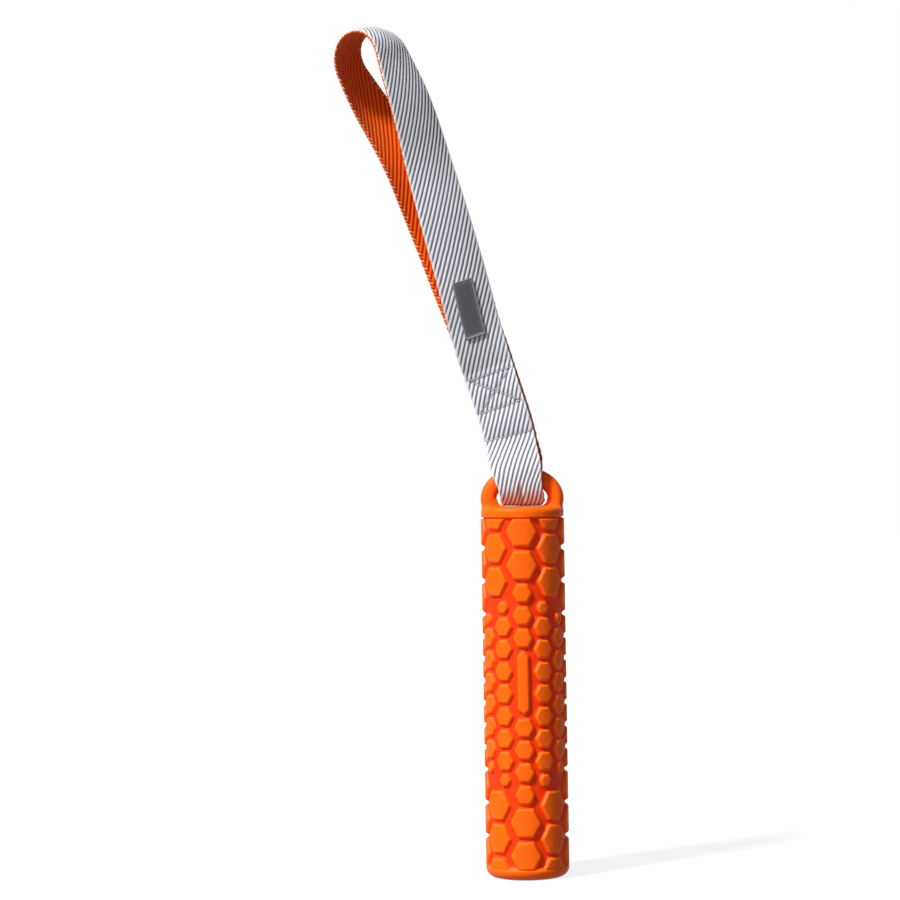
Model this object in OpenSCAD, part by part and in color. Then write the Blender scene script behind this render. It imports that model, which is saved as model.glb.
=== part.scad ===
// Floating training bumper: a moulded rubber stick with raised hexagon pads and
// a moulded bail on top, and a webbing hand loop sewn round the bail's bar.
// Millimetres. The origin is the centre of the flat base and +Z runs up the
// stick. The front, with the plaque and the sewn label, faces -Y.

/* [Stick] */
// Diameter over the pads
stick_d = 50.8; // [46:0.2:60]
// Length from the flat base to the top of the collar
stick_len = 225; // [205:1:260]
// Depth of the grooves between the pads
groove_depth = 2.1; // [1.2:0.1:2.6]
// How much fuller the grooves' floor is at the middle of the stick than at its ends
floor_crown = 0.1; // [0.05:0.05:0.4]
// Radius of the rounded edge round the base
base_round = 6; // [3:0.5:9]
// Height of the plain collar under the bail
collar_h = 6; // [4.5:0.5:10]
// How much slimmer the collar is than the pads, in diameter
collar_step = 0.6; // [0.2:0.1:1.6]
// Radius of the collar's rounded top edge
collar_round = 3; // [1:0.25:4]
// Width of the narrow groove that parts the pads from each plain end
end_groove_w = 0.8; // [0.5:0.1:1.6]

/* [Pads] */
// Height of a large pad, flat to flat on its top face
large_pad = 16.4; // [13:0.1:17]
// Spacing of the large pads up a column
large_pitch = 20.15; // [19:0.05:22]
// Height of a small pad
small_pad = 10.1; // [8:0.1:10.6]
// Spacing of the small pads up a column
small_pitch = 13.5; // [12.8:0.1:15]
// Height of the filler pad that ends a column 30 degrees off the front
filler_pad = 6.1; // [4:0.1:6.4]
// Height of the filler pad that ends a column 60 degrees off the front
lesser_filler_pad = 5.4; // [4:0.1:5.6]
// How far a pad's side walls spread from its top face to the groove floor
pad_draft = 0.9; // [0.4:0.1:1]
// Width of the bare plaque on the front
plaque_w = 6.2; // [5:0.1:7]
// Length of each of the plaque's pointed ends
plaque_tip = 2.6; // [1.5:0.1:4]

/* [Bail] */
// How far each side of the bail stands inside the pads' surface
bail_inset = 0.1; // [0:0.1:1.5]
// Height of the bail above the collar
bail_h = 24.4; // [23.5:0.1:30]
// Height of the bail's widest point above the collar
bail_waist = 5; // [3:0.5:7]
// Thickness of the bail's bar, seen from the front
bar_t = 9.7; // [8:0.1:10.5]
// Depth of the bail's bar, front to back
bar_depth = 10; // [8:0.1:10.4]
// Radius that fills each bottom corner of the bail's slot
slot_fillet = 4.2; // [2:0.1:5]

/* [Core] */
// Diameter of the foam core
core_d = 36; // [30:0.5:38]
// Thickness of rubber under and over the core
core_wall = 10; // [8:0.5:16]
// Diameter of the plug that closes the filling hole in the base
plug_d = 16; // [10:0.5:20]

/* [Webbing] */
// Width of the webbing
web_w = 31.75; // [29:0.25:33]
// Play between the bunched webbing and each side of the bail's slot
slot_play = 2.4; // [1.8:0.1:3.6]
// Length over which the webbing spreads from the slot to its full width
spread_len = 18; // [14:0.5:20]
// Thickness of the webbing
web_t = 2; // [1.6:0.1:2.1]
// Distance from the bail's bar to the far end of the hand loop
handle_len = 291; // [270:1:330]
// Half of the hand loop's greatest opening, between the webbing's middles
loop_half_gap = 15.6; // [12:0.2:24]
// Length of the hand loop's rounded far end
cap_len = 22; // [16:0.5:30]
// Height of the webbing's fold above the floor of the bail's slot
fold_lift = 2.6; // [2.4:0.1:3.2]
// Distance of the fold's middle to the right of the bail's middle
fold_shift = 0.6; // [0.4:0.1:1]

/* [Sewing] */
// Distance from the bar to the single row of stitches
row_at = 24.4; // [22:0.1:28]
// Distance from the bar to the near side of the stitched box
box_from = 42.6; // [38:0.1:46]
// Length of the stitched box along the webbing
box_len = 21.2; // [16:0.1:26]
// Inset of the stitched box from the webbing's edges
box_inset = 2.6; // [2:0.1:5]
// Length of webbing past the box, up to where the handle bends
bend_margin = 3.5; // [3.3:0.1:6]
// Length of one stitch
stitch_len = 2; // [1.4:0.1:2.4]
// Distance from one stitch to the next
stitch_pitch = 3.1; // [2.7:0.1:4]
// Thickness of the thread
thread_t = 0.6; // [0.4:0.05:0.8]

/* [Label] */
// Width of the sewn label
label_w = 13; // [10:0.5:18]
// Length of the sewn label
label_len = 35; // [25:0.5:45]
// Thickness of the sewn label
label_t = 1.2; // [0.8:0.1:2]
// Distance from the bar to the middle of the label
label_at = 105; // [98:0.5:120]
// Offset of the label to the left of the webbing's middle
label_shift = 0.8; // [0:0.1:5]
// Inset of the label's stitches from its long sides
label_inset = 1.7; // [1.2:0.1:3]
// Distance from one of the label's stitches to the next
label_pitch = 2.2; // [1.8:0.1:3]
// Length of one of the label's stitches
label_stitch = 1.4; // [0.8:0.1:1.5]

/* [Clearances] */
// Gap round the bar inside the webbing's fold
bar_gap = 0.6; // [0.4:0.05:1]
// Gap between the foam core or its plug and the rubber round it
core_gap = 0.1; // [0.05:0.05:0.4]
// Gap between two layers of webbing that are sewn together
sewn_gap = 0.05; // [0.02:0.01:0.1]
// Gap between the webbing and the stitches or the label that lie on it
thread_gap = 0.15; // [0.15:0.05:0.3]
// Gap between the two parts of the handle where it bends
bend_gap = 0.35; // [0.3:0.05:0.6]

/* [Hidden] */
$fn = 96;
eps = 0.01;

// --- Stick and pads: derived sizes ---
stick_r = stick_d / 2;
floor_r = stick_r - groove_depth;
collar_r = stick_r - collar_step / 2;
mid_z = stick_len / 2;
band_half = mid_z - max(base_round, collar_h) - end_groove_w;
large_columns = 8;
small_columns = 12;
gap_beside = small_pitch - small_pad;
// The farthest that a large pad's corner reaches round the stick, in degrees
large_reach = deg(large_pad / sqrt(3) / stick_r);
// How far the pads' walls run on past the stick's surface, before it trims them
wall_over = (stick_r / cos(large_reach) - stick_r) / groove_depth + 0.3;
wall_under = 0.5;
// How far the last small pad of a column may reach in between two large ones
row_slack = 0.6;
// Height of the chamfer between the groove floor and each plain end
end_chamfer = 0.3;
// How far the last pad of a column reaches past the band that trims the pads
end_trim = 0.2;

// --- The handle's own curve ---
// A smooth line through the rows of a table, read from its column k
function slope(t, k, i) = let (a = max(0, i - 1), b = min(len(t) - 1, i + 1))
    (t[b][k] - t[a][k]) / (t[b][0] - t[a][0]);
function through(t, k, at) = let (
    x = min(max(at, t[0][0]), t[len(t) - 1][0]),
    i = max([for (j = [0 : len(t) - 2]) if (t[j][0] <= x) j]),
    h = t[i + 1][0] - t[i][0], f = (x - t[i][0]) / h)
    (1 + 2 * f) * (1 - f) * (1 - f) * t[i][k] + f * (1 - f) * (1 - f) * h * slope(t, k, i)
    + f * f * (3 - 2 * f) * t[i + 1][k] + f * f * (f - 1) * h * slope(t, k, i + 1);

// Share of the handle's length from the bar, its lean to the left and the turn
// of the webbing's face to the right, both in degrees
bends = [[-0.07, 8, 0], [0, 10, -1], [0.07, 12, -12], [0.14, 17.5, -14],
         [0.21, 17.5, -12], [0.31, 18, -1], [0.41, 17.5, 9], [0.55, 18.5, 16],
         [0.69, 20, 28], [0.83, 25, 41], [1, 21, 67]];
function lean(u) = through(bends, 1, u / handle_len);
function yaw(u) = through(bends, 2, u / handle_len);
// Share of the hand loop's length, and how open it is there
opening = [[0, 0], [0.12, 0.34], [0.26, 0.73], [0.46, 0.97], [0.65, 0.9], [0.85, 1], [1, 0.9]];

// --- Bail: derived sizes ---
bail_w = stick_d - 2 * bail_inset;
bar_z = stick_len + bail_h - bar_t / 2;
arch_rx = (bail_w - bar_t) / 2;
arch_rz = bail_h - bail_waist - bar_t / 2;
arch_z = stick_len + bail_waist;
// Exponent of the bar's section, from 2 for an oval towards a rounded box
bar_shape = 2.5;
// Depth of the fillets in the slot's corners, front to back
corner_depth = 0.72 * bar_depth;

// --- Handle: derived sizes. u runs along the handle from the bar, v across
// the two runs of webbing towards the front, and w across the webbing ---
bunched_w = min(web_w, bail_w - 2 * bar_t - 2 * slot_play);
// The bar curves down to the slot's sides, so the handle swings about an axis a
// little below the bar's middle
edge_x = bail_w / 2 - bar_t;
swing_drop = 0.6 * bar_sag(edge_x);
swing_z = bar_z - swing_drop;
fold_r = max([for (x = [0, edge_x], a = [-90 : 5 : 90]) bar_reach(x, a)])
    + edge_x * abs(sin(yaw(0))) + bar_gap;
// The webbing has half of its extra width here
spread_at = 1;
fold_drop = bail_h - bar_t / 2 - fold_lift;
fold_u = -(fold_drop - web_t - fold_r);
box_to = box_from + box_len;
bend_at = box_to + bend_margin;
sewn_half = 1.5 * web_t + 2 * sewn_gap;
run_half = sewn_half - web_t / 2;
hand_from = bend_at + sewn_half + bend_gap;
cap_u = handle_len - web_t / 2 - cap_len;

// How far the bar's middle lies below its top at x, and the distance from the
// swing's axis to the bar's surface there, in the direction a
function bar_sag(x) = arch_rz * (1 - sqrt(1 - pow(x / arch_rx, 2)));
function bar_reach(x, a) = let (
    slope = atan(arch_rz * x / (arch_rx * sqrt(arch_rx * arch_rx - x * x))))
    norm([bar_depth / 2 * power(cos(a)),
          swing_drop - bar_sag(x) + bar_t / 2 / cos(slope) * power(sin(a))]);
function power(c) = sign(c) * pow(abs(c), 2 / bar_shape);

function deg(radians) = radians * 180 / PI;
function unit(v) = v / norm(v);
// Goes smoothly from 0 at a to 1 at b
function ease(a, b, u) = let (t = min(1, max(0, (u - a) / (b - a)))) t * t * (3 - 2 * t);

// Width of the webbing, which is bunched in the slot
function width(u) = bunched_w + (web_w - bunched_w) * ease(spread_at - spread_len / 2, spread_at + spread_len / 2, u);

// The handle's middle, added up in short steps from below the fold
curve_step = 2;
curve_low = -curve_step * ceil(fold_drop / curve_step + 1);
curve_count = ceil((handle_len - curve_low) / curve_step) + 1;
curve = [for (i = 0, x = 0, z = 0; i <= curve_count;
              x = x - curve_step * sin(lean(curve_low + curve_step * (i + 0.5))),
              z = z + curve_step * cos(lean(curve_low + curve_step * (i + 0.5))),
              i = i + 1) [curve_low + curve_step * i, x, z]];
curve_x = [for (p = curve) [p[0], p[1]]];
curve_z = [for (p = curve) [p[0], p[2]]];
function mid_x(u) = fold_shift + lookup(u, curve_x) - lookup(-fold_drop, curve_x);
function mid_height(u) = bar_z + lookup(u, curve_z) - lookup(0, curve_z);

// The directions across the runs and across the webbing, and the place they give
function across(u) = [sin(yaw(u)) * cos(lean(u)), -cos(yaw(u)), sin(yaw(u)) * sin(lean(u))];
function along_width(u) = [cos(yaw(u)) * cos(lean(u)), sin(yaw(u)), cos(yaw(u)) * sin(lean(u))];
function place(u, v, w) = [mid_x(u), 0, mid_height(u)] + v * across(u) + w * along_width(u);

// Half the distance between the runs of the hand loop, middle to middle
function half_gap(u) = run_half
    + (loop_half_gap - run_half) * through(opening, 1, (u - bend_at) / (cap_u - bend_at));

// --- The closed lines that the webbing follows, as [u, v] ---
// The hand loop's middle line: up the front, over the top and down the back
run_step = 8;
run_count = ceil((cap_u - hand_from) / run_step);
cap_count = 14;
hand_line = concat(
    [for (i = [0 : run_count - 1])
        let (u = hand_from + (cap_u - hand_from) * i / run_count) [u, half_gap(u)]],
    [for (i = [0 : cap_count])
        let (a = 180 * i / cap_count) [cap_u + cap_len * sin(a), half_gap(cap_u) * cos(a)]],
    [for (i = [run_count - 1 : -1 : 0])
        let (u = hand_from + (cap_u - hand_from) * i / run_count) [u, -half_gap(u)]]);

// The fold round the bar: its inside and outside lines, with round top ends
function fold_in(u) = sewn_gap + (fold_r - sewn_gap) * (1 - ease(0, row_at, u));
function fold_out(u) = fold_in(u) + web_t + (sewn_half - web_t - sewn_gap) * ease(0, row_at, u);
fold_step = 4;
fold_count = ceil((bend_at - fold_u) / fold_step);
turn_count = 12;
end_count = 4;
end_turn = 88;
side_u = [for (i = [0 : fold_count - 1]) bend_at + (fold_u - bend_at) * i / fold_count];
end_a = [for (i = [0 : end_count - 1]) end_turn * (1 - i / end_count)];
function front_side(inner) = concat(
    [for (a = end_a) [bend_at + sewn_half * sin(a), inner ? sewn_gap : sewn_half * cos(a) + eps]],
    [for (u = side_u) [u, inner ? fold_in(u) : fold_out(u)]]);
function turn(r) = [for (i = [0 : turn_count])
    let (a = 180 * i / turn_count) [fold_u - r * sin(a), r * cos(a)]];
function mirrored(line) = [for (i = [len(line) - 1 : -1 : 0]) [line[i].x, -line[i].y]];
function fold_line(inner) = let (side = front_side(inner))
    concat(side, turn(inner ? fold_r : fold_r + web_t), mirrored(side));

// A line moved sideways by d, to the left as it runs
function moved(line, d) = [for (i = [0 : len(line) - 1])
    let (a = line[max(0, i - 1)], b = line[min(len(line) - 1, i + 1)], t = unit(b - a))
    line[i] + d * [-t.y, t.x]];

// A strip between the line on its right and the line on its left, as wide as
// the webbing or as half_w on each side
module strip(right_line, left_line, half_w = 0, shift = 0) {
    n = len(right_line);
    function side(p, s) = place(p.x, p.y, s * (half_w > 0 ? half_w : width(p.x) / 2) - shift);
    points = [for (i = [0 : n - 1]) each
        [side(right_line[i], -1), side(right_line[i], 1),
         side(left_line[i], 1), side(left_line[i], -1)]];
    walls = [for (i = [0 : n - 2], k = [0 : 3])
        let (a = 4 * i + k, b = 4 * i + (k + 1) % 4)
        each k == 2 ? [[a, b, a + 4], [b, b + 4, a + 4]] : [[a, b, b + 4], [a, b + 4, a + 4]]];
    ends = [[2, 1, 0], [3, 2, 0], [4 * n - 4, 4 * n - 3, 4 * n - 2],
            [4 * n - 4, 4 * n - 2, 4 * n - 1]];
    polyhedron(points, concat(walls, ends));
}

// One flat stitch that lies on the face v of the sewn part, middle at (u, w)
thread_flat = 0.7;
module stitch(u, w, heading, v) {
    from = v + sign(v) * thread_gap;
    to = from + sign(v) * thread_t * thread_flat;
    along = stitch_len / 2 * [cos(heading), sin(heading)];
    side = thread_t / 2 * [-sin(heading), cos(heading)];
    corners = [[u, w] - along - side, [u, w] + along - side,
               [u, w] + along + side, [u, w] - along + side];
    low = [for (c = corners) place(c.x, v > 0 ? from : to, c.y)];
    high = [for (c = corners) place(c.x, v > 0 ? to : from, c.y)];
    polyhedron(concat(low, high),
        [[2, 1, 0], [3, 2, 0], [4, 5, 6], [4, 6, 7],
         for (k = [0 : 3]) let (m = (k + 1) % 4) each [[k, m, m + 4], [k, m + 4, k + 4]]]);
}

// A straight row of stitches from a to b, each given as [u, w], on both faces
module stitch_row(a, b) {
    span = norm(b - a);
    count = 2 * max(1, round(span / stitch_pitch / 2));
    heading = atan2(b.y - a.y, b.x - a.x);
    for (i = [0 : count - 1], v = [sewn_half, -sewn_half]) {
        at = a + (b - a) * (i + 0.5) / count;
        stitch(at.x, at.y, heading, v);
    }
}

// --- Pads ---
// A point on the stick: r from its axis, s round the stick from the angle a0, up z
function on_stick(r, a0, s, z) = let (a = a0 + deg(s / stick_r)) [r * sin(a), -r * cos(a), z];
function hexagon(f) = [for (i = [0 : 5]) f / sqrt(3) * [cos(60 * i), sin(60 * i)]];
function plaque_outline(h) = [[plaque_w / 2, h / 2 - plaque_tip], [0, h / 2],
    [-plaque_w / 2, h / 2 - plaque_tip], [-plaque_w / 2, plaque_tip - h / 2], [0, -h / 2],
    [plaque_w / 2, plaque_tip - h / 2]];
// The outline with each side moved outwards by d
function grown(line, d) = [for (i = [0 : len(line) - 1])
    let (b = line[i], p = unit(b - line[(i + len(line) - 1) % len(line)]),
         q = unit(line[(i + 1) % len(line)] - b), m = [p.y, -p.x] + [q.y, -q.x])
    b + d * m / (1 + [p.y, -p.x] * [q.y, -q.x])];

// A pad with spreading walls, longer than needed at both ends
module pad(a0, z, outline) {
    n = len(outline);
    foot = grown(outline, pad_draft);
    function rise(i, k) = let (
        top = on_stick(stick_r, a0, outline[i].x, z + outline[i].y),
        low = on_stick(floor_r, a0, foot[i].x, z + foot[i].y)) low + k * (top - low);
    polyhedron(
        [for (k = [-wall_under, 1 + wall_over], i = [0 : n - 1]) rise(i, k)],
        [for (i = [1 : n - 2]) each [[0, i, i + 1], [n + i + 1, n + i, n]],
         for (i = [0 : n - 1]) let (m = (i + 1) % n) each [[i, n + i, n + m], [i, n + m, m]]]);
}

// Heights above the middle of the stick. Even columns start beside the middle
// and odd columns on it; both run out at a limit
function even_rows(pitch, size, limit) =
    [for (k = [0 : floor((limit - size / 2) / pitch - 0.5)]) (k + 0.5) * pitch];
function odd_rows(pitch, size, limit) =
    [for (k = [0 : floor((limit - size / 2) / pitch)]) k * pitch];
first_row = band_half + end_trim - large_pad / 2;
function large_rows(count, shift) = [for (k = [0 : count - 1]) first_row + (shift - k) * large_pitch];
function small_limit(large_count) =
    first_row - large_pad / 2 - (large_count - 1) * large_pitch - gap_beside + row_slack;
short_limit = small_limit(3);
long_limit = small_limit(2);

front_rows = even_rows(small_pitch, small_pad, long_limit);
side_rows = odd_rows(small_pitch, small_pad, short_limit);
slant_rows = odd_rows(small_pitch, small_pad, short_limit);
steep_rows = even_rows(small_pitch, small_pad, short_limit - small_pitch / 2);
function filler_z(rows, size) = rows[len(rows) - 1] + small_pad / 2 + gap_beside + size / 2;

// A pad at the height h above the middle, and its twin below
module pad_pair(a0, h, size) {
    pad(a0, mid_z + h, hexagon(size));
    if (h > eps) pad(a0, mid_z - h, hexagon(size));
}

plaque_z = small_pitch / 2;
plaque_h = 2 * small_pitch + small_pad;
function under_plaque(a0, h) = a0 == 0 && abs(h - plaque_z) < plaque_h / 2;

module pads() {
    for (side = [0, 180]) {
        for (h = large_rows(2, 0)) pad_pair(side, h, large_pad);
        for (h = large_rows(3, 0)) pad_pair(side + 90, h, large_pad);
        for (h = front_rows, s = [1, -1])
            if (!under_plaque(side, s * h)) pad(side, mid_z + s * h, hexagon(small_pad));
        for (h = side_rows) pad_pair(side + 90, h, small_pad);
    }
    for (k = [1 : 2 : large_columns - 1], h = large_rows(3, 0.5))
        pad_pair(k * 360 / large_columns, h, large_pad);
    for (side = [0, 180], way = [-1, 1]) {
        slant = side + way * 360 / small_columns;
        steep = side + way * 720 / small_columns;
        for (h = slant_rows) pad_pair(slant, h, small_pad);
        for (h = steep_rows) pad_pair(steep, h, small_pad);
        pad_pair(slant, filler_z(slant_rows, filler_pad), filler_pad);
        pad_pair(steep, filler_z(steep_rows, lesser_filler_pad), lesser_filler_pad);
    }
    pad(0, mid_z + plaque_z, plaque_outline(plaque_h));
}

// --- Sub-parts ---
arc_steps = 8;
function quarter(cx, cz, r, from) = [for (i = [0 : arc_steps])
    [cx + r * cos(from + 90 * i / arc_steps), cz + r * sin(from + 90 * i / arc_steps)]];

floor_bands = 6;
module stick_profile() {
    low = base_round + end_chamfer;
    high = stick_len - collar_h - end_chamfer;
    polygon(concat([[0, 0]],
        quarter(stick_r - base_round, base_round, base_round, -90),
        [for (i = [0 : floor_bands]) let (t = i / floor_bands)
            [floor_r + floor_crown * 4 * t * (1 - t), low + (high - low) * t]],
        [[collar_r, stick_len - collar_h]],
        quarter(collar_r - collar_round, stick_len - collar_round, collar_round, 0),
        [[0, stick_len]]));
}

// The bail's bar, swept round half an oval and down into the collar
module bail_bar() {
    stations = 32;
    ring = 20;
    reach = 32;
    function station(i) = let (t = -reach + (180 + 2 * reach) * i / stations,
        out = unit([arch_rz * cos(t), arch_rx * sin(t)])) [for (k = [0 : ring - 1])
            let (a = 360 * k / ring, d = bar_t / 2 * power(cos(a)))
            [arch_rx * cos(t) + d * out.x, bar_depth / 2 * power(sin(a)),
             arch_z + arch_rz * sin(t) + d * out.y]];
    polyhedron([for (i = [0 : stations]) each station(i)],
        [for (i = [0 : stations - 1], k = [0 : ring - 1])
            let (a = i * ring + k, b = i * ring + (k + 1) % ring)
            each [[b, a, a + ring], [b, a + ring, b + ring]],
         for (k = [1 : ring - 2]) let (last = stations * ring)
            each [[0, k, k + 1], [last + k + 1, last + k, last]]]);
}

// The rounded bottom corners of the slot, which run on a little into the bar
// and the collar
module slot_corners() {
    overlap = 1;
    half = arch_rx * sqrt(1 - pow((bail_waist - slot_fillet / 2) / arch_rz, 2)) - bar_t / 2;
    for (side = [0, 1]) mirror([side, 0, 0])
        translate([half - slot_fillet, corner_depth / 2, stick_len]) rotate([90, 0, 0])
            linear_extrude(corner_depth) difference() {
                translate([0, -overlap]) square(slot_fillet + overlap);
                translate([0, slot_fillet]) circle(slot_fillet);
            }
}

module bumper_shell() {
    color("darkorange") difference() {
        union() {
            rotate_extrude() stick_profile();
            intersection() {
                translate([0, 0, mid_z - band_half]) cylinder(h = 2 * band_half, r = stick_r);
                pads();
            }
            bail_bar();
            slot_corners();
        }
        translate([0, 0, core_wall]) cylinder(h = stick_len - 2 * core_wall, d = core_d + 2 * core_gap);
        translate([0, 0, -1]) cylinder(h = core_wall + 2, d = plug_d + 2 * core_gap);
    }
}

module foam_core() {
    color("ivory") translate([0, 0, core_wall + core_gap])
        cylinder(h = stick_len - 2 * core_wall - 2 * core_gap, d = core_d);
}

module fill_plug() {
    color("orange") cylinder(h = core_wall, d = plug_d);
}

module bail_webbing() {
    color("silver") strip(fold_line(false), fold_line(true));
}

module hand_webbing() {
    color("lightsteelblue") strip(moved(hand_line, -web_t / 2), moved(hand_line, web_t / 2));
}

module box_stitching() {
    half = web_w / 2 - box_inset;
    inner = half - stitch_len / 2;
    color("whitesmoke") {
        stitch_row([box_to, -half], [box_to, half]);
        stitch_row([box_from, -half], [box_from, half]);
        stitch_row([box_from + thread_t * 2, -inner], [box_to - thread_t * 2, inner]);
        stitch_row([box_from + thread_t * 2, inner], [box_to - thread_t * 2, -inner]);
    }
}

module row_stitching() {
    half = web_w / 2 - thread_t * 2;
    color("whitesmoke") stitch_row([row_at, -half], [row_at, half]);
}

module label_patch() {
    steps = 7;
    base = [for (i = [0 : steps])
        let (u = label_at + label_len * (i / steps - 0.5)) [u, half_gap(u)]];
    face = web_t / 2 + thread_gap;
    color("dimgray") strip(moved(base, face), moved(base, face + label_t), label_w / 2, label_shift);
}

// Two rows of short stitches down the label's long sides
module label_stitching() {
    rows_len = label_len - 2 * label_inset;
    count = floor(rows_len / label_pitch);
    face = web_t / 2 + 2 * thread_gap + label_t;
    color("silver") for (i = [0 : count - 1], s = [1, -1]) {
        u = label_at + (i + 0.5 - count / 2) * rows_len / count;
        line = [for (d = [-0.5, 0.5] * label_stitch) [u + d, half_gap(u + d)]];
        thread(moved(line, face), moved(line, face + thread_t / 2),
               s * (label_w / 2 - label_inset) - label_shift);
    }
}

// A short piece of thread along the webbing, at the distance w from its middle
module thread(low, high, w) {
    t = thread_t / 2;
    points = [for (i = [0, 1]) each [
        place(low[i].x, low[i].y, w - t), place(low[i].x, low[i].y, w + t),
        place(high[i].x, high[i].y, w + t), place(high[i].x, high[i].y, w - t)]];
    polyhedron(points, [for (k = [0 : 3]) let (m = (k + 1) % 4) each
        [[k, m, m + 4], [k, m + 4, k + 4]], [2, 1, 0], [3, 2, 0], [4, 5, 6], [4, 6, 7]]);
}

bumper_shell();
foam_core();
fill_plug();
bail_webbing();
hand_webbing();
box_stitching();
row_stitching();
label_patch();
label_stitching();
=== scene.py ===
"""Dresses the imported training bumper: its moulded stick and bail, the webbing handle,
the stitches that hold it, and the sewn label.

Lengths in the classes are millimetres. Meshes are made in metres, in the part's own frame:
the origin is the centre of the flat base, +Z runs up the stick and the front faces -Y.
"""

import logging
import math
from dataclasses import dataclass, field
from enum import Enum

import bmesh
import bpy
import numpy as np
from mathutils import Matrix, Vector
from mathutils.geometry import delaunay_2d_cdt


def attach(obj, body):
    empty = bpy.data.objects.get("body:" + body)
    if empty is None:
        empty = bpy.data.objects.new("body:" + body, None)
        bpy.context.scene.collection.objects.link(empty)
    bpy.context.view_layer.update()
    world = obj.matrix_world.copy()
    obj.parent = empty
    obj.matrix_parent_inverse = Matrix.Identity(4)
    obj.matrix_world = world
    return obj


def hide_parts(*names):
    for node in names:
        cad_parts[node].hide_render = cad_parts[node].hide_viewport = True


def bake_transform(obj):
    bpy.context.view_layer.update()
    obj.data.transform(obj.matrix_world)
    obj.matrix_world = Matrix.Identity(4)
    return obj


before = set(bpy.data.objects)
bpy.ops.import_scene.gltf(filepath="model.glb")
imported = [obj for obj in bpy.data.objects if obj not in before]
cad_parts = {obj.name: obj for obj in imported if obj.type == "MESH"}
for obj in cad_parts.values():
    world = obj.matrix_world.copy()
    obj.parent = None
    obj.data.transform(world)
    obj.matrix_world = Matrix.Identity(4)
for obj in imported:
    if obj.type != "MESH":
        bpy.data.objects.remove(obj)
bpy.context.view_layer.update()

MM = 0.001
TAU = 2 * math.pi
NEAR = 1e-3  # points of the unrolled stick this close to an edge lie on it
log = logging.getLogger("training_bumper")


class Body(str, Enum):
    """The moving bodies of the part."""

    BUMPER = "bumper"
    BAIL_LOOP = "bail_loop"
    HAND_LOOP = "hand_loop"


class Slot(str, Enum):
    """The material slots of the pieces that stand in for solids."""

    SHELL = "shell_rubber"
    WEBBING = "webbing"
    THREAD = "thread"
    LABEL = "label_rubber"
    LABEL_THREAD = "label_thread"


class Face(Enum):
    """Which side of the webbing a stitch lies on."""

    FRONT = 1
    BACK = -1


# --- Small mathematics -------------------------------------------------------


def ease(low: float, high: float, at: np.ndarray) -> np.ndarray:
    """Goes smoothly from 0 at low to 1 at high.

    Args:
        low: Where the rise starts.
        high: Where the rise ends.
        at: The places to read it at.

    Returns:
        The share of the rise at each place.
    """
    t = np.clip((np.asarray(at, float) - low) / (high - low), 0.0, 1.0)
    return t * t * (3.0 - 2.0 * t)


def through(table: np.ndarray, column: int, at: np.ndarray) -> np.ndarray:
    """Reads a smooth line through the rows of a table.

    Args:
        table: Rows that start with their place along the line.
        column: The column to read.
        at: The places to read it at.

    Returns:
        The smooth line's values, held flat past both ends.
    """
    knots, values = table[:, 0], table[:, column]
    ahead = np.minimum(np.arange(len(knots)) + 1, len(knots) - 1)
    behind = np.maximum(np.arange(len(knots)) - 1, 0)
    slopes = (values[ahead] - values[behind]) / (knots[ahead] - knots[behind])
    x = np.clip(np.asarray(at, float), knots[0], knots[-1])
    i = np.clip(np.searchsorted(knots, x, side="right") - 1, 0, len(knots) - 2)
    h = knots[i + 1] - knots[i]
    f = (x - knots[i]) / h
    return (
        (1 + 2 * f) * (1 - f) ** 2 * values[i]
        + f * (1 - f) ** 2 * h * slopes[i]
        + f * f * (3 - 2 * f) * values[i + 1]
        + f * f * (f - 1) * h * slopes[i + 1]
    )


def arch(t: np.ndarray) -> np.ndarray:
    """A half circle over places from -0.5 to 0.5: 0 at both ends, 1 in the middle."""
    return np.sqrt(np.clip(1 - (2 * t) ** 2, 0, 1))


def smooth_union(a: np.ndarray, b: np.ndarray, reach: float) -> np.ndarray:
    """Joins two distance fields with a fillet.

    Args:
        a: Signed distances to the first body.
        b: Signed distances to the second body.
        reach: How far the fillet reaches.

    Returns:
        Signed distances to the joined body.
    """
    h = np.maximum(reach - np.abs(a - b), 0.0) / reach
    return np.minimum(a, b) - h * h * reach / 4


# --- Meshes ------------------------------------------------------------------


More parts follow.
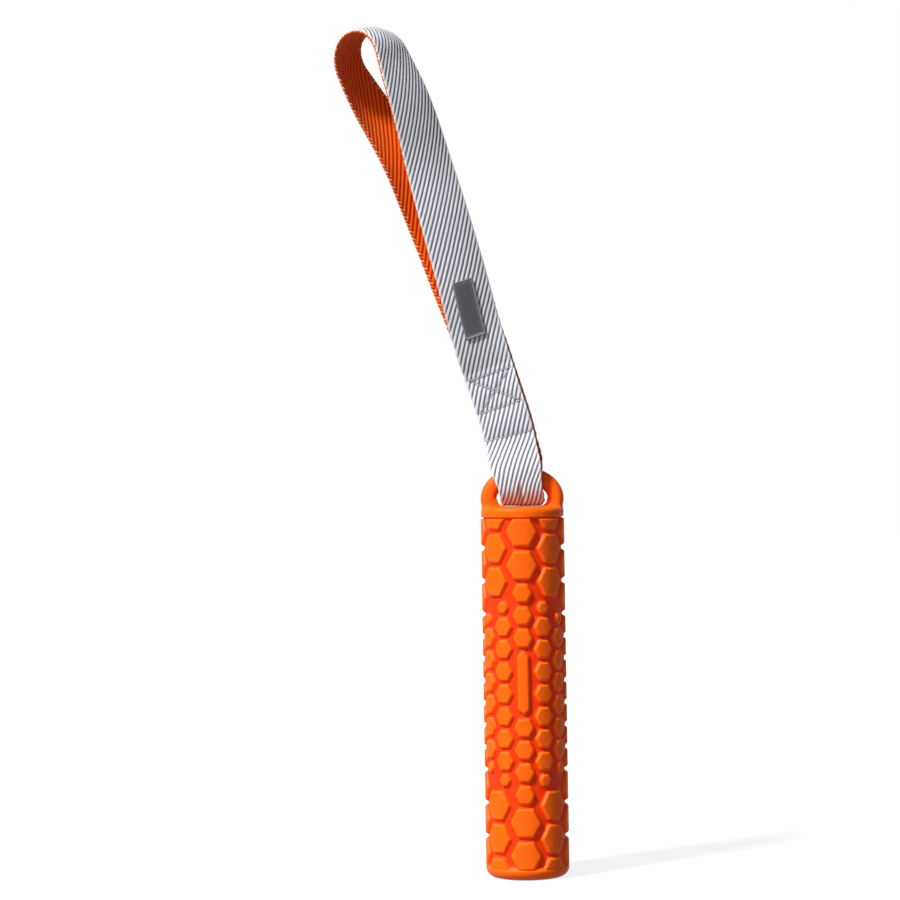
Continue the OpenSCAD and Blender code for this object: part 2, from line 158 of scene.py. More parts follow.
@dataclass
class MeshParts:
    """Points in millimetres, faces, and values for each point, gathered into one mesh."""

    points: list[np.ndarray] = field(default_factory=list)
    faces: list[tuple[int, ...]] = field(default_factory=list)
    values: dict[str, list[np.ndarray]] = field(default_factory=dict)
    count: int = 0

    def add(
        self,
        points: np.ndarray,
        faces: np.ndarray | list[tuple[int, ...]],
        **values: np.ndarray,
    ) -> int:
        """Adds a group of points and the faces between them.

        Args:
            points: The points, one row each.
            faces: Faces that count from this group's first point.
            **values: A value or vector for each point, by the attribute's name.

        Returns:
            The index of the group's first point.
        """
        start = self.count
        self.points.append(np.asarray(points, float))
        for face in faces:
            self.faces.append(tuple(int(i) + start for i in face))
        for name, value in values.items():
            self.values.setdefault(name, []).append(np.asarray(value, float))
        self.count += len(points)
        return start

    def bridge(self, faces: list[tuple[int, ...]]) -> None:
        """Adds faces between points that are already there."""
        self.faces.extend(faces)

    def build(self, name: str) -> bpy.types.Object:
        """Makes the object, smooth shaded and in metres.

        Args:
            name: The object's name.

        Returns:
            The new object, linked to the scene.
        """
        mesh = bpy.data.meshes.new(name)
        points = np.vstack(self.points) * MM
        mesh.from_pydata(points.tolist(), [], self.faces)
        for key, groups in self.values.items():
            data = np.concatenate(groups)
            kind = "FLOAT_VECTOR" if data.ndim == 2 else "FLOAT"
            attribute = mesh.attributes.new(key, kind, "POINT")
            attribute.data.foreach_set(
                "vector" if data.ndim == 2 else "value", data.astype(np.float32).ravel()
            )
        mesh.polygons.foreach_set("use_smooth", np.ones(len(mesh.polygons), bool))
        mesh.update()
        obj = bpy.data.objects.new(name, mesh)
        bpy.context.scene.collection.objects.link(obj)
        return obj


def weld(obj: bpy.types.Object, reach: float) -> None:
    """Merges an object's points that lie together and faces its surface outwards.

    Args:
        obj: The object to mend.
        reach: How far apart the points may lie, in metres.
    """
    bm = bmesh.new()
    bm.from_mesh(obj.data)
    bmesh.ops.remove_doubles(bm, verts=bm.verts, dist=reach)
    bmesh.ops.dissolve_degenerate(bm, edges=bm.edges, dist=reach / 10)
    bmesh.ops.recalc_face_normals(bm, faces=bm.faces)
    bm.to_mesh(obj.data)
    bm.free()


# --- Materials ---------------------------------------------------------------

Socket = bpy.types.NodeSocket
Colour = tuple[float, float, float]


class Graph:
    """A material's node tree, with short calls for the nodes that the finishes use."""

    def __init__(self, name: str) -> None:
        """Starts a material with one principled shader."""
        self.material = bpy.data.materials.new(name)
        self.material.use_nodes = True
        self.tree = self.material.node_tree
        self.shader = self.tree.nodes["Principled BSDF"]

    def node(self, kind: str, **settings: object) -> bpy.types.Node:
        """Adds a node.

        Args:
            kind: The node's type.
            **settings: Its properties.

        Returns:
            The new node.
        """
        made = self.tree.nodes.new(kind)
        for key, value in settings.items():
            setattr(made, key, value)
        return made

    def feed(self, socket: Socket, value: Socket | float | Colour) -> None:
        """Links a socket to another, or sets its constant value."""
        if isinstance(value, bpy.types.NodeSocket):
            self.tree.links.new(value, socket)
        elif isinstance(value, tuple):
            socket.default_value = (*value, 1.0) if len(socket.default_value) == 4 else value
        else:
            socket.default_value = value

    def math(
        self, operation: str, a: Socket | float, b: Socket | float = 0.0, clamp: bool = False
    ) -> Socket:
        """Adds a Math node.

        Args:
            operation: The node's operation.
            a: Its first value.
            b: Its second value.
            clamp: Whether the result is held between 0 and 1.

        Returns:
            The result.
        """
        made = self.node("ShaderNodeMath", operation=operation, use_clamp=clamp)
        self.feed(made.inputs[0], a)
        self.feed(made.inputs[1], b)
        return made.outputs[0]

    def plus(self, a: Socket | float, b: Socket | float) -> Socket:
        """Adds two values."""
        return self.math("ADD", a, b)

    def times(self, a: Socket | float, b: Socket | float) -> Socket:
        """Multiplies two values."""
        return self.math("MULTIPLY", a, b)

    def wave(self, angle: Socket) -> Socket:
        """Makes a cosine wave that runs from 0 to 1."""
        return self.plus(0.5, self.times(self.math("COSINE", angle), 0.5))

    def mix(self, share: Socket | float, low: Socket | Colour, high: Socket | Colour) -> Socket:
        """Mixes two colours.

        Args:
            share: How much of the second colour there is.
            low: The first colour.
            high: The second colour.

        Returns:
            The mixed colour.
        """
        made = self.node("ShaderNodeMix", data_type="RGBA")
        self.feed(made.inputs[0], share)
        self.feed(made.inputs[6], low)
        self.feed(made.inputs[7], high)
        return made.outputs[2]

    def step(self, value: Socket, low: float, high: float) -> Socket:
        """Rises smoothly from 0 to 1 as a value goes from low to high.

        Args:
            value: The value.
            low: Where the rise starts.
            high: Where the rise ends.

        Returns:
            The share of the rise.
        """
        made = self.node("ShaderNodeMapRange", interpolation_type="SMOOTHSTEP")
        self.feed(made.inputs["Value"], value)
        self.feed(made.inputs["From Min"], low)
        self.feed(made.inputs["From Max"], high)
        return made.outputs["Result"]

    def noise(self, size: float, detail: float = 2.0, vector: Socket | None = None) -> Socket:
        """Adds noise in the object's own space.

        Args:
            size: The size of the noise's features, in millimetres.
            detail: How many finer octaves it has.
            vector: Another place to read it at, in millimetres.

        Returns:
            The noise, about 0.5 at its middle.
        """
        made = self.node("ShaderNodeTexNoise")
        if vector is None:
            vector = self.own_space()
            size *= MM
        self.feed(made.inputs["Vector"], vector)
        self.feed(made.inputs["Scale"], 1.0 / size)
        self.feed(made.inputs["Detail"], detail)
        return made.outputs["Fac"]

    def own_space(self) -> Socket:
        """Reads places in the object's own space, in metres."""
        return self.node("ShaderNodeTexCoord").outputs["Object"]

    def reach(self) -> Socket:
        """Reads how far places lie from the part's upright axis, in metres."""
        x, y, _ = self.split(self.own_space())
        return self.math("SQRT", self.plus(self.times(x, x), self.times(y, y)))

    def attribute(self, name: str) -> bpy.types.Node:
        """Reads one of the mesh's own values."""
        return self.node("ShaderNodeAttribute", attribute_name=name)

    def split(self, vector: Socket) -> list[Socket]:
        """Splits a vector into its three parts."""
        made = self.node("ShaderNodeSeparateXYZ")
        self.feed(made.inputs[0], vector)
        return list(made.outputs)

    def bump(self, height: Socket, depth: float, below: Socket | None = None) -> Socket:
        """Adds relief to the shader's normal.

        Args:
            height: The relief, from 0 to 1.
            depth: Its depth in millimetres.
            below: The normal that it is added to.

        Returns:
            The new normal.
        """
        made = self.node("ShaderNodeBump")
        self.feed(made.inputs["Height"], height)
        made.inputs["Distance"].default_value = depth * MM
        if below is not None:
            self.feed(made.inputs["Normal"], below)
        return made.outputs["Normal"]

    def finish(
        self,
        colour: Socket | Colour,
        roughness: Socket | float,
        normal: Socket | None,
        **constants: object,
    ) -> bpy.types.Material:
        """Feeds the shader.

        Args:
            colour: The base colour.
            roughness: The roughness.
            normal: The normal.
            **constants: Other sockets' constant values, with _ for each space.

        Returns:
            The finished material.
        """
        self.feed(self.shader.inputs["Base Color"], colour)
        self.feed(self.shader.inputs["Roughness"], roughness)
        if normal is not None:
            self.feed(self.shader.inputs["Normal"], normal)
        for key, value in constants.items():
            self.shader.inputs[key.replace("_", " ")].default_value = value
        return self.material


@dataclass(frozen=True)
class MouldedRubber:
    """Matte moulded rubber, with painted shade deepening its grooves and a painted highlight on
    its pads' rims.
    """

    name: str = "moulded_rubber"
    top: Colour = (1.0, 0.128, 0.0)
    # floor is painted shade: the grooves' floor takes a deeper red than the pads' tops.
    floor: Colour = (0.95, 0.040, 0.0)
    # rim is a painted highlight, laid in patches along the pads' rims.
    rim: Colour = (1.0, 0.25, 0.01)
    flow_mark: Colour = (0.75, 0.04, 0.0)
    gloss: float = 0.40
    flow: float = 26.0
    speck: float = 0.55
    rim_highlight_patch: float = 5.0
    dull_patch: float = 2.2
    grain: float = 1.6
    grain_depth: float = 0.035
    fine_grain: float = 0.32
    fine_depth: float = 0.018

    def material(self) -> bpy.types.Material:
        """Makes the rubber's material."""
        g = Graph(self.name)
        relief = g.attribute("relief").outputs["Fac"]
        rim = g.attribute("rim").outputs["Fac"]
        flow = g.noise(self.flow, 3.0)
        speck = g.noise(self.speck, 2.0)
        # Painted shade: low relief, down in the grooves, takes the deeper floor colour.
        colour = g.mix(g.step(relief, 0.02, 0.5), self.floor, self.top)
        # Painted highlight: patches of the paler rim colour along the pads' rims.
        rim_highlight = g.times(rim, g.step(g.noise(self.rim_highlight_patch, 4.0), 0.35, 0.75))
        colour = g.mix(g.times(rim_highlight, 0.55), colour, self.rim)
        shade = g.plus(g.times(flow, 0.10), g.times(speck, 0.06))
        darker = g.mix(0.6, colour, self.flow_mark)
        colour = g.mix(g.math("SUBTRACT", shade, 0.03, clamp=True), colour, darker)
        rough = g.plus(self.gloss, g.times(g.noise(self.dull_patch, 4.0), 0.16))
        normal = g.bump(g.noise(self.grain, 2.0), self.grain_depth)
        normal = g.bump(g.noise(self.fine_grain, 2.0), self.fine_depth, normal)
        return g.finish(
            colour,
            rough,
            normal,
            Specular_IOR_Level=0.16,
            Subsurface_Weight=0.15,
            Subsurface_Radius=(1.0, 0.15, 0.03),
            Subsurface_Scale=0.002,
        )


@dataclass(frozen=True)
class PlugRubber:
    """The plug's rubber: the same compound, cut flat, so it is duller and finely scored."""

    name: str = "plug_rubber"
    colour: Colour = (0.86, 0.10, 0.003)
    dark: Colour = (0.55, 0.045, 0.0)
    score: float = 0.9
    grain: float = 0.8
    depth: float = 0.06

    def material(self) -> bpy.types.Material:
        """Makes the plug's material."""
        g = Graph(self.name)
        rings = g.math("SINE", g.times(g.reach(), TAU / (self.score * MM)))
        grain = g.noise(self.grain, 4.0)
        colour = g.mix(g.times(grain, 0.4), self.colour, self.dark)
        height = g.plus(g.times(rings, 0.25), grain)
        return g.finish(colour, g.plus(0.5, g.times(grain, 0.2)), g.bump(height, self.depth))


@dataclass(frozen=True)
class CellFoam:
    """Closed-cell foam: pale, matte and finely pitted, with painted shade in its pits."""

    name: str = "cell_foam"
    colour: Colour = (0.80, 0.76, 0.66)
    pit_shade: Colour = (0.62, 0.57, 0.46)
    bloom: Colour = (0.9, 0.86, 0.74)
    cell: float = 0.9
    patch: float = 12.0
    depth: float = 0.25
    roughness: float = 0.92

    def material(self) -> bpy.types.Material:
        """Makes the foam's material."""
        g = Graph(self.name)
        cells = g.node("ShaderNodeTexVoronoi")
        g.feed(cells.inputs["Vector"], g.own_space())
        g.feed(cells.inputs["Scale"], 1.0 / (self.cell * MM))
        from_pit = cells.outputs["Distance"]
        # Painted shade: the cells' hollows take the darker pit colour.
        colour = g.mix(g.step(from_pit, 0.1, 0.7), self.pit_shade, self.colour)
        colour = g.mix(g.times(g.noise(self.patch, 3.0), 0.25), colour, self.bloom)
        return g.finish(colour, self.roughness, g.bump(from_pit, self.depth))


@dataclass(frozen=True)
class TwillWebbing:
    """Double-faced webbing: silver ribs on its outer face, orange on its inner one.

    The pattern is read from the mesh's own cloth coordinates: along the strap, across
    it, and the face, from 1 on the outer face to -1 on the inner one.
    """

    angle: float
    pitch: float
    half: float
    name: str = "twill_webbing"
    rib: Colour = (0.86, 0.87, 0.90)
    # The groove colours are painted shade, for the grooves between the ribs on each face.
    groove: Colour = (0.085, 0.088, 0.125)
    soil: Colour = (0.45, 0.42, 0.42)
    # sewn is painted shade along the stitch lines, where the webbing is drawn in.
    sewn: Colour = (0.10, 0.10, 0.13)
    warm_rib: Colour = (1.0, 0.19, 0.0)
    warm_groove_shade: Colour = (0.58, 0.004, 0.0)
    pick_cream: Colour = (0.98, 0.50, 0.20)
    pick_orange: Colour = (1.0, 0.20, 0.01)
    pick_red: Colour = (0.55, 0.010, 0.001)
    bead: float = 0.95
    bead_slant: float = 0.45
    warp_end: float = 0.52
    wander: float = 0.22
    wander_size: float = 7.0
    pick: float = 2.45
    pick_slant: float = 4.5
    fuzz: float = 0.35
    soil_patch: float = 18.0
    thread_depth: float = 0.16
    # How far in from the strap's edge its pale rim and its woven border start and are full
    pale_rim: tuple[float, float] = (1.6, 0.5)
    border: tuple[float, float] = (2.3, 1.5)

    def ribs(
        self, g: Graph, along: Socket, across: Socket, way: float
    ) -> tuple[Socket, Socket, Socket]:
        """Reads one face's ribs.

        Args:
            g: The material's graph.
            along: The place along the strap.
            across: The place across it.
            way: 1 where the ribs rise along the strap, -1 where they fall.

        Returns:
            The ribs' height, the beads of yarn along them, and the warp ends' fine lines.
        """
        sine, cosine = math.sin(math.radians(self.angle)), math.cos(math.radians(self.angle))
        wander = g.times(g.noise(self.wander_size, 2.0, self.place(g, along, across)), self.wander)
        over = g.times(across, cosine / self.pitch)
        up = g.times(along, -way * sine / self.pitch)
        phase = g.plus(g.plus(over, up), wander)
        rib = g.wave(g.times(phase, TAU))
        run = g.plus(g.times(along, way * cosine), g.times(across, sine))
        slant = g.times(phase, self.bead_slant)
        turns = g.plus(g.times(run, 1.0 / self.bead), slant)
        bead = g.wave(g.times(turns, TAU))
        return rib, bead, g.wave(g.times(across, TAU / self.warp_end))

    def place(self, g: Graph, along: Socket, across: Socket) -> Socket:
        """Makes a vector in millimetres from the two cloth coordinates."""
        made = g.node("ShaderNodeCombineXYZ")
        g.feed(made.inputs[0], along)
        g.feed(made.inputs[1], across)
        return made.outputs[0]

    def near_edge(self, g: Graph, across: Socket, band: tuple[float, float]) -> Socket:
        """Rises from 0 to 1 towards the strap's edges.

        Args:
            g: The material's graph.
            across: The place across the strap.
            band: How far in from the edge the rise starts, and where it is full.

        Returns:
            The share of the rise.
        """
        start, full = band
        return g.step(g.math("ABSOLUTE", across), self.half - start, self.half - full)

    def face(
        self, g: Graph, along: Socket, across: Socket, way: float, rib: Colour, groove: Colour
    ) -> tuple[Socket, Socket]:
        """Colours one face.

        Args:
            g: The material's graph.
            along: The place along the strap.
            across: The place across it.
            way: 1 where the ribs rise along the strap, -1 where they fall.
            rib: The ribs' colour.
            groove: The grooves' colour, which is painted shade.

        Returns:
            The face's colour and its fine relief.
        """
        height, bead, ends = self.ribs(g, along, across, way)
        thread = g.plus(g.times(bead, 0.48), g.times(ends, 0.06))
        pale = self.near_edge(g, across, self.pale_rim)
        high = g.plus(g.plus(height, thread), g.times(pale, 0.35))
        # Painted shade: the grooves, and more faintly the dips between the yarn's beads, take the
        # groove colour.
        colour = g.mix(g.step(high, 0.36, 0.98), groove, rib)
        between_bead_shade = g.mix(0.5, colour, groove)
        between_beads = g.math("SUBTRACT", 1.0, bead)
        return g.mix(g.times(between_beads, 0.62), colour, between_bead_shade), thread

    def edge(self, g: Graph, across: Socket, face: Socket) -> Socket:
        """Finds the woven edge: the strap's sides and a narrow border of its inner face.

        Args:
            g: The material's graph.
            across: The place across the strap.
            face: The face.

        Returns:
            1 on the woven edge, 0 elsewhere.
        """
        side = g.step(g.math("ABSOLUTE", face), 0.72, 0.35)
        border = self.near_edge(g, across, self.border)
        return g.math("MAXIMUM", side, g.times(border, g.step(face, 0.2, -0.2)))

    def edge_colour(self, g: Graph, along: Socket, across: Socket, face: Socket) -> Socket:
        """Colours the woven edge with its slanting cream, orange and red picks.

        Args:
            g: The material's graph.
            along: The place along the strap.
            across: The place across it.
            face: The face.

        Returns:
            The colour.
        """
        slant = g.times(g.math("ABSOLUTE", across), TAU / self.pick_slant)
        run = g.times(along, TAU / self.pick)
        turns = g.plus(run, g.plus(slant, g.times(face, 1.1)))
        pick = g.step(g.math("SINE", turns), -0.55, 0.45)
        every_other = g.step(g.math("SINE", g.times(turns, 0.5)), -0.3, 0.3)
        pale = g.mix(every_other, self.pick_orange, self.pick_cream)
        return g.mix(pick, self.pick_red, pale)

    def material(self) -> bpy.types.Material:
        """Makes the webbing's material."""
        g = Graph(self.name)
        along, across, face = g.split(g.attribute("cloth").outputs["Vector"])
        cool, cool_thread = self.face(g, along, across, 1.0, self.rib, self.groove)
        warm, warm_thread = self.face(g, along, across, -1.0, self.warm_rib, self.warm_groove_shade)
        inner = g.step(face, 0.35, -0.35)
        colour = g.mix(inner, cool, warm)
        outer = g.math("SUBTRACT", 1.0, inner)
        relief = g.plus(g.times(cool_thread, outer), g.times(warm_thread, inner))
        edge = self.edge(g, across, face)
        colour = g.mix(edge, colour, self.edge_colour(g, along, across, face))
        # Painted shade along the stitch lines: dark grey on the outer face, the deep red groove
        # shade on the inner one.
        pinched = g.times(g.attribute("pinch").outputs["Fac"], 0.75)
        colour = g.mix(pinched, colour, g.mix(inner, self.sewn, self.warm_groove_shade))
        fuzz = g.noise(self.fuzz, 3.0)
        soil = g.mix(inner, self.soil, self.warm_groove_shade)
        colour = g.mix(g.times(g.noise(self.soil_patch, 3.0), 0.10), colour, soil)
        relief = g.plus(relief, g.times(fuzz, 0.25))
        return g.finish(
            colour,
            g.plus(0.55, g.times(fuzz, 0.25)),
            g.bump(relief, self.thread_depth),
            Specular_IOR_Level=0.12,
            Sheen_Weight=0.05,
            Sheen_Roughness=0.5,
        )


@dataclass(frozen=True)
class SewingThread:
    """Twisted sewing thread, read from the mesh's own thread coordinates."""

    name: str
    colour: Colour
    shade: Colour
    twist: float = 0.55
    fluff: float = 0.15
    depth: float = 0.08

    def material(self) -> bpy.types.Material:
        """Makes the thread's material."""
        g = Graph(self.name)
        along, around, _ = g.split(g.attribute("thread").outputs["Vector"])
        turns = g.plus(g.times(along, TAU / self.twist), g.times(around, TAU))
        share = g.plus(0.5, g.times(g.math("SINE", turns), 0.5))
        colour = g.mix(g.times(share, 0.75), self.shade, self.colour)
        height = g.plus(share, g.times(g.noise(self.fluff, 2.0), 0.3))
        return g.finish(colour, 0.5, g.bump(height, self.depth))


@dataclass(frozen=True)
class LabelRubber:
    """The label's charcoal rubber, paler towards its rubbed border and finely grained."""

    name: str = "label_rubber"
    field_colour: Colour = (0.036, 0.035, 0.042)
    border: Colour = (0.215, 0.195, 0.20)
    dust: Colour = (0.15, 0.145, 0.16)
    grain: float = 0.45
    depth: float = 0.05

    def material(self) -> bpy.types.Material:
        """Makes the label's material."""
        g = Graph(self.name)
        rise = g.attribute("relief").outputs["Fac"]
        grain = g.noise(self.grain, 3.0)
        colour = g.mix(g.step(rise, 0.0, 1.0), self.field_colour, self.border)
        colour = g.mix(g.times(grain, 0.30), colour, self.dust)
        rough = g.plus(0.48, g.times(grain, 0.2))
        return g.finish(colour, rough, g.bump(grain, self.depth))


@dataclass(frozen=True)
class StudioFloor:
    """The floor, which keeps the part's shadow and goes to plain white away from it.

    It gives back little light, and shows pale to the camera by a glow that only rays
    which look at it see.
    """

    name: str = "studio_floor"
    colour: Colour = (0.19, 0.19, 0.19)
    dark: Colour = (0.17, 0.17, 0.17)
    grain: float = 3.0
    near: float = 0.22
    far: float = 0.55
    lift: float = 0.80
    roughness: float = 0.8

    def material(self) -> bpy.types.Material:
        """Makes the floor's material."""
        g = Graph(self.name)
        away = g.step(g.reach(), self.near, self.far)
        tint = g.mix(g.times(g.noise(self.grain, 3.0), 0.03), self.colour, self.dark)
        g.finish(tint, self.roughness, None)
        rays = g.node("ShaderNodeLightPath")
        seen = g.math("MAXIMUM", rays.outputs["Is Camera Ray"], rays.outputs["Is Glossy Ray"])
        seen = g.math("MAXIMUM", seen, rays.outputs["Is Transmission Ray"])
        glow = g.node("ShaderNodeEmission")
        strength = g.plus(self.lift, g.times(away, 1.0 - self.lift))
        g.feed(glow.inputs["Strength"], g.times(strength, seen))
        total = g.node("ShaderNodeAddShader")
        g.feed(total.inputs[0], g.shader.outputs[0])
        g.feed(total.inputs[1], glow.outputs[0])
        g.feed(g.tree.nodes["Material Output"].inputs["Surface"], total.outputs[0])
        return g.material


def dress(obj: bpy.types.Object, material: bpy.types.Material) -> None:
    """Gives an object one material."""
    obj.data.materials.clear()
    obj.data.materials.append(material)


# --- The moulded stick -------------------------------------------------------


@dataclass(frozen=True)
class Pad:
    """A raised pad: its middle on the unrolled stick, and its outline about that middle."""

    around: float
    up: float
    outline: np.ndarray
    corner: float = 0.8

    def drawn_in(self, by: float) -> np.ndarray:
        """The corners of the outline, with each side moved inwards.

        Args:
            by: How far the sides move.

        Returns:
            The corners about the pad's middle.
        """
        n = len(self.outline)
        drawn = []
        for i in range(n):
            b = self.outline[i]
            p = b - self.outline[i - 1]
            q = self.outline[(i + 1) % n] - b
            p, q = p / np.linalg.norm(p), q / np.linalg.norm(q)
            m = np.array([p[1], -p[0]]) + np.array([q[1], -q[0]])
            drawn.append(b - by * m / (1 + p[1] * q[1] + p[0] * q[0]))
        return np.array(drawn)

    def ring(self, out: float, spacing: float) -> np.ndarray:
        """The outline moved outwards, with round corners.

        Args:
            out: How far it moves, which may be less than nothing.
            spacing: The greatest distance between its points.

        Returns:
            The points of the closed ring, on the unrolled stick.
        """
        core = self.drawn_in(max(self.corner, -out))
        n = len(core)
        radius = max(self.corner + out, 0.0)
        points: list[np.ndarray] = []
        for i in range(n):
            before, here, after = core[i - 1], core[i], core[(i + 1) % n]
            d0, d1 = here - before, after - here
            a0 = math.atan2(-d0[0], d0[1])
            a1 = math.atan2(-d1[0], d1[1])
            turn = (a1 - a0) % TAU
            steps = max(2, round(turn / math.radians(25))) if radius > 0 else 0
            for k in range(steps + 1):
                a = a0 + turn * k / max(steps, 1)
                points.append(here + radius * np.array([math.cos(a), math.sin(a)]))
            side = np.linalg.norm(d1)
            count = int(side // spacing)
            normal = np.array([d1[1], -d1[0]]) / side
            for k in range(1, count + 1):
                points.append(here + d1 * k / (count + 1) + radius * normal)
        return np.array(points) + (self.around, self.up)

    def distance(self, at: np.ndarray) -> np.ndarray:
        """How far points lie outside the round-cornered outline, less than 0 inside it."""
        core = self.drawn_in(self.corner)
        p = at - (self.around, self.up)
        inside = np.full(len(p), -1e9)
        near = np.full(len(p), 1e9)
        for i in range(len(core)):
            a, b = core[i], core[(i + 1) % len(core)]
            e = b - a
            length = np.linalg.norm(e)
            normal = np.array([e[1], -e[0]]) / length
            t = np.clip((p - a) @ e / length**2, 0, 1)
            near = np.minimum(near, np.linalg.norm(p - a - t[:, None] * e, axis=1))
            inside = np.maximum(inside, (p - a) @ normal)
        return np.where(inside > 0, near, inside) - self.corner


@dataclass
class FlatLines:
    """Lines of points on the unrolled stick, and the edges that its triangles keep."""

    points: list[np.ndarray] = field(default_factory=list)
    edges: list[tuple[int, int]] = field(default_factory=list)
    count: int = 0

    def lay(self, line: np.ndarray, closed: bool = False, joined: bool = True) -> None:
        """Adds a line of points.

        Args:
            line: The points, one row each.
            closed: Whether the last one is joined to the first.
            joined: Whether the points are joined by edges at all.
        """
        n = len(line)
        if joined:
            first = self.count
            ends = range(n if closed else n - 1)
            self.edges.extend((first + k, first + (k + 1) % n) for k in ends)
        self.points.append(line)
        self.count += n

    def triangles(self, half: float, low: float, top: float) -> tuple[np.ndarray, np.ndarray]:
        """Triangulates the points along their edges, within the unrolled stick.

        Args:
            half: Half the stick's girth.
            low: The lower edge of its unrolled surface.
            top: The upper edge.

        Returns:
            The points, and the triangles between them.
        """
        flat = np.vstack(self.points)
        across, up = np.abs(flat[:, 0]), flat[:, 1]
        inside = (across <= half + 12) & (up >= low - 1e-9) & (up <= top + 1e-9)
        index = np.cumsum(inside) - 1
        kept = [(int(index[a]), int(index[b])) for a, b in self.edges if inside[a] and inside[b]]
        found = delaunay_2d_cdt([Vector(p) for p in flat[inside]], kept, [], 0, 1e-4, False)
        verts = np.array([(v[0], v[1]) for v in found[0]])
        faces = np.array(found[2])
        middle = verts[faces].mean(axis=1)
        good = (np.abs(middle[:, 0]) < half) & (middle[:, 1] > low) & (middle[:, 1] < top)
        faces = faces[good]
        used = np.unique(faces)
        back = np.full(len(verts), -1)
        back[used] = np.arange(len(used))
        return verts[used], back[faces]


@dataclass
class MouldedStick:
    """The moulded rubber body: stick, raised pads, bare plaque, collar and bail."""

    radius: float = 25.4
    length: float = 225.0
    groove: float = 2.1
    crown: float = 0.1
    base_round: float = 6.0
    collar_height: float = 6.0
    collar_radius: float = 25.1
    collar_round: float = 3.0
    end_gap: float = 0.8
    end_trim: float = 0.2
    large_pad: float = 16.4
    large_pitch: float = 20.15
    small_pad: float = 10.1
    small_pitch: float = 13.5
    filler_pad: float = 6.1
    lesser_filler_pad: float = 5.4
    plaque_width: float = 6.2
    plaque_tip: float = 2.6
    plug_bore: float = 8.1
    core_bore: float = 18.1
    core_wall: float = 10.0
    seam_height: float = 221.2
    lip_row: float = 220.4
    # Where the painted highlight lies on the pads' rims: outside the outline, how widely, and how
    # far from the middle
    rim_highlight_at: float = -0.25
    rim_highlight_width: float = 0.35
    rim_highlight_half: float = 106.0
    # Spacings of the mesh: round the ends, along the seam, on pads' edges and faces, on the floor
    row_spacing: float = 1.25
    seam_spacing: float = 1.1
    ring_spacing: float = 1.6
    face_spacing: float = 2.0
    floor_spacing: float = 1.7
    bail: "Bail" = field(default_factory=lambda: Bail())
    finish: MouldedRubber = field(default_factory=MouldedRubber)

    # How high a pad's edge stands, by the distance outside its outline
    edge_out = (-1.15, -0.8, -0.45, -0.1, 0.2, 0.45, 0.7, 0.95, 1.25)
    edge_high = (1.0, 0.985, 0.93, 0.82, 0.66, 0.45, 0.22, 0.07, 0.0)
    ring_out = (-1.15, -0.7, -0.25, 0.1, 0.45, 0.8, 1.25)
    # How the grooves run out on to the base, by height
    ramp_at = (5.5, 6.0, 6.35, 6.8, 7.5, 8.4, 9.4)
    ramp_high = (1.0, 0.975, 0.84, 0.60, 0.30, 0.09, 0.0)
    trim_at = (6.35, 6.8, 7.3)
    trim_high = (0.0, 0.75, 1.0)
    # How the pads end below the collar, and how the collar begins
    cut_at = (217.4, 217.8, 218.3)
    cut_high = (1.0, 0.8, 0.0)
    collar_at = (218.1, 218.5, 218.8, 219.1, 219.6)
    collar_high = (0.0, 0.2, 0.72, 0.95, 1.0)

    @property
    def girth(self) -> float:
        """The way round the stick over its pads."""
        return TAU * self.radius

    @property
    def floor_radius(self) -> float:
        """The radius of the grooves' floor at the stick's ends."""
        return self.radius - self.groove

    @staticmethod
    def hexagon(height: float) -> np.ndarray:
        """A hexagon of that height, flat to flat, with a flat top."""
        a = np.radians(60.0 * np.arange(6))
        return height / math.sqrt(3) * np.column_stack([np.cos(a), np.sin(a)])

    def plaque(self) -> np.ndarray:
        """The plaque's outline, pointed at both ends."""
        w, h = self.plaque_width / 2, (2 * self.small_pitch + self.small_pad) / 2
        t = self.plaque_tip
        return np.array([[w, h - t], [0, h], [-w, h - t], [-w, t - h], [0, -h], [w, t - h]])

    def pads(self) -> list[Pad]:
        """Lays the pads out round the stick.

        Returns:
            The pads, with the ones on the back's seam drawn at both of its edges.
        """
        middle = self.length / 2
        band = middle - self.base_round - self.end_gap
        first = band + self.end_trim - self.large_pad / 2
        gap = self.small_pitch - self.small_pad
        placed: list[tuple[float, float, np.ndarray]] = []

        def pair(angle: float, high: float, size: float) -> None:
            """Places a pad above the stick's middle and its twin below."""
            for way in (1, -1) if high > 0 else (1,):
                placed.append((angle, middle + way * high, self.hexagon(size)))

        large = [first - k * self.large_pitch for k in range(3)]
        for angle in (0, 180):
            for high in large[:2]:
                pair(angle, high, self.large_pad)
            for k in range(5):
                for way in (1, -1):
                    high = way * (k + 0.5) * self.small_pitch
                    off_plaque = abs(high - self.small_pitch / 2)
                    if angle == 180 or off_plaque >= 2 * self.small_pitch - 1:
                        placed.append((angle, middle + high, self.hexagon(self.small_pad)))
        for angle in (90, -90):
            for high in large:
                pair(angle, high, self.large_pad)
            for k in range(4):
                pair(angle, k * self.small_pitch, self.small_pad)
        for angle in (45, 135, -45, -135):
            for high in large:
                pair(angle, high + self.large_pitch / 2, self.large_pad)
        for angle in (30, 150, -30, -150):
            for k in range(4):
                pair(angle, k * self.small_pitch, self.small_pad)
            high = 3 * self.small_pitch + self.small_pad / 2 + gap + self.filler_pad / 2
            pair(angle, high, self.filler_pad)
        for angle in (60, 120, -60, -120):
            for k in range(3):
                pair(angle, (k + 0.5) * self.small_pitch, self.small_pad)
            high = 2.5 * self.small_pitch + self.small_pad / 2 + gap + self.lesser_filler_pad / 2
            pair(angle, high, self.lesser_filler_pad)
        placed.append((0, middle + self.small_pitch / 2, self.plaque()))
        pads = []
        for angle, up, outline in placed:
            for turn in (0, -360) if angle == 180 else (0,):
                pads.append(Pad(math.radians(angle + turn) * self.radius, up, outline))
        return pads

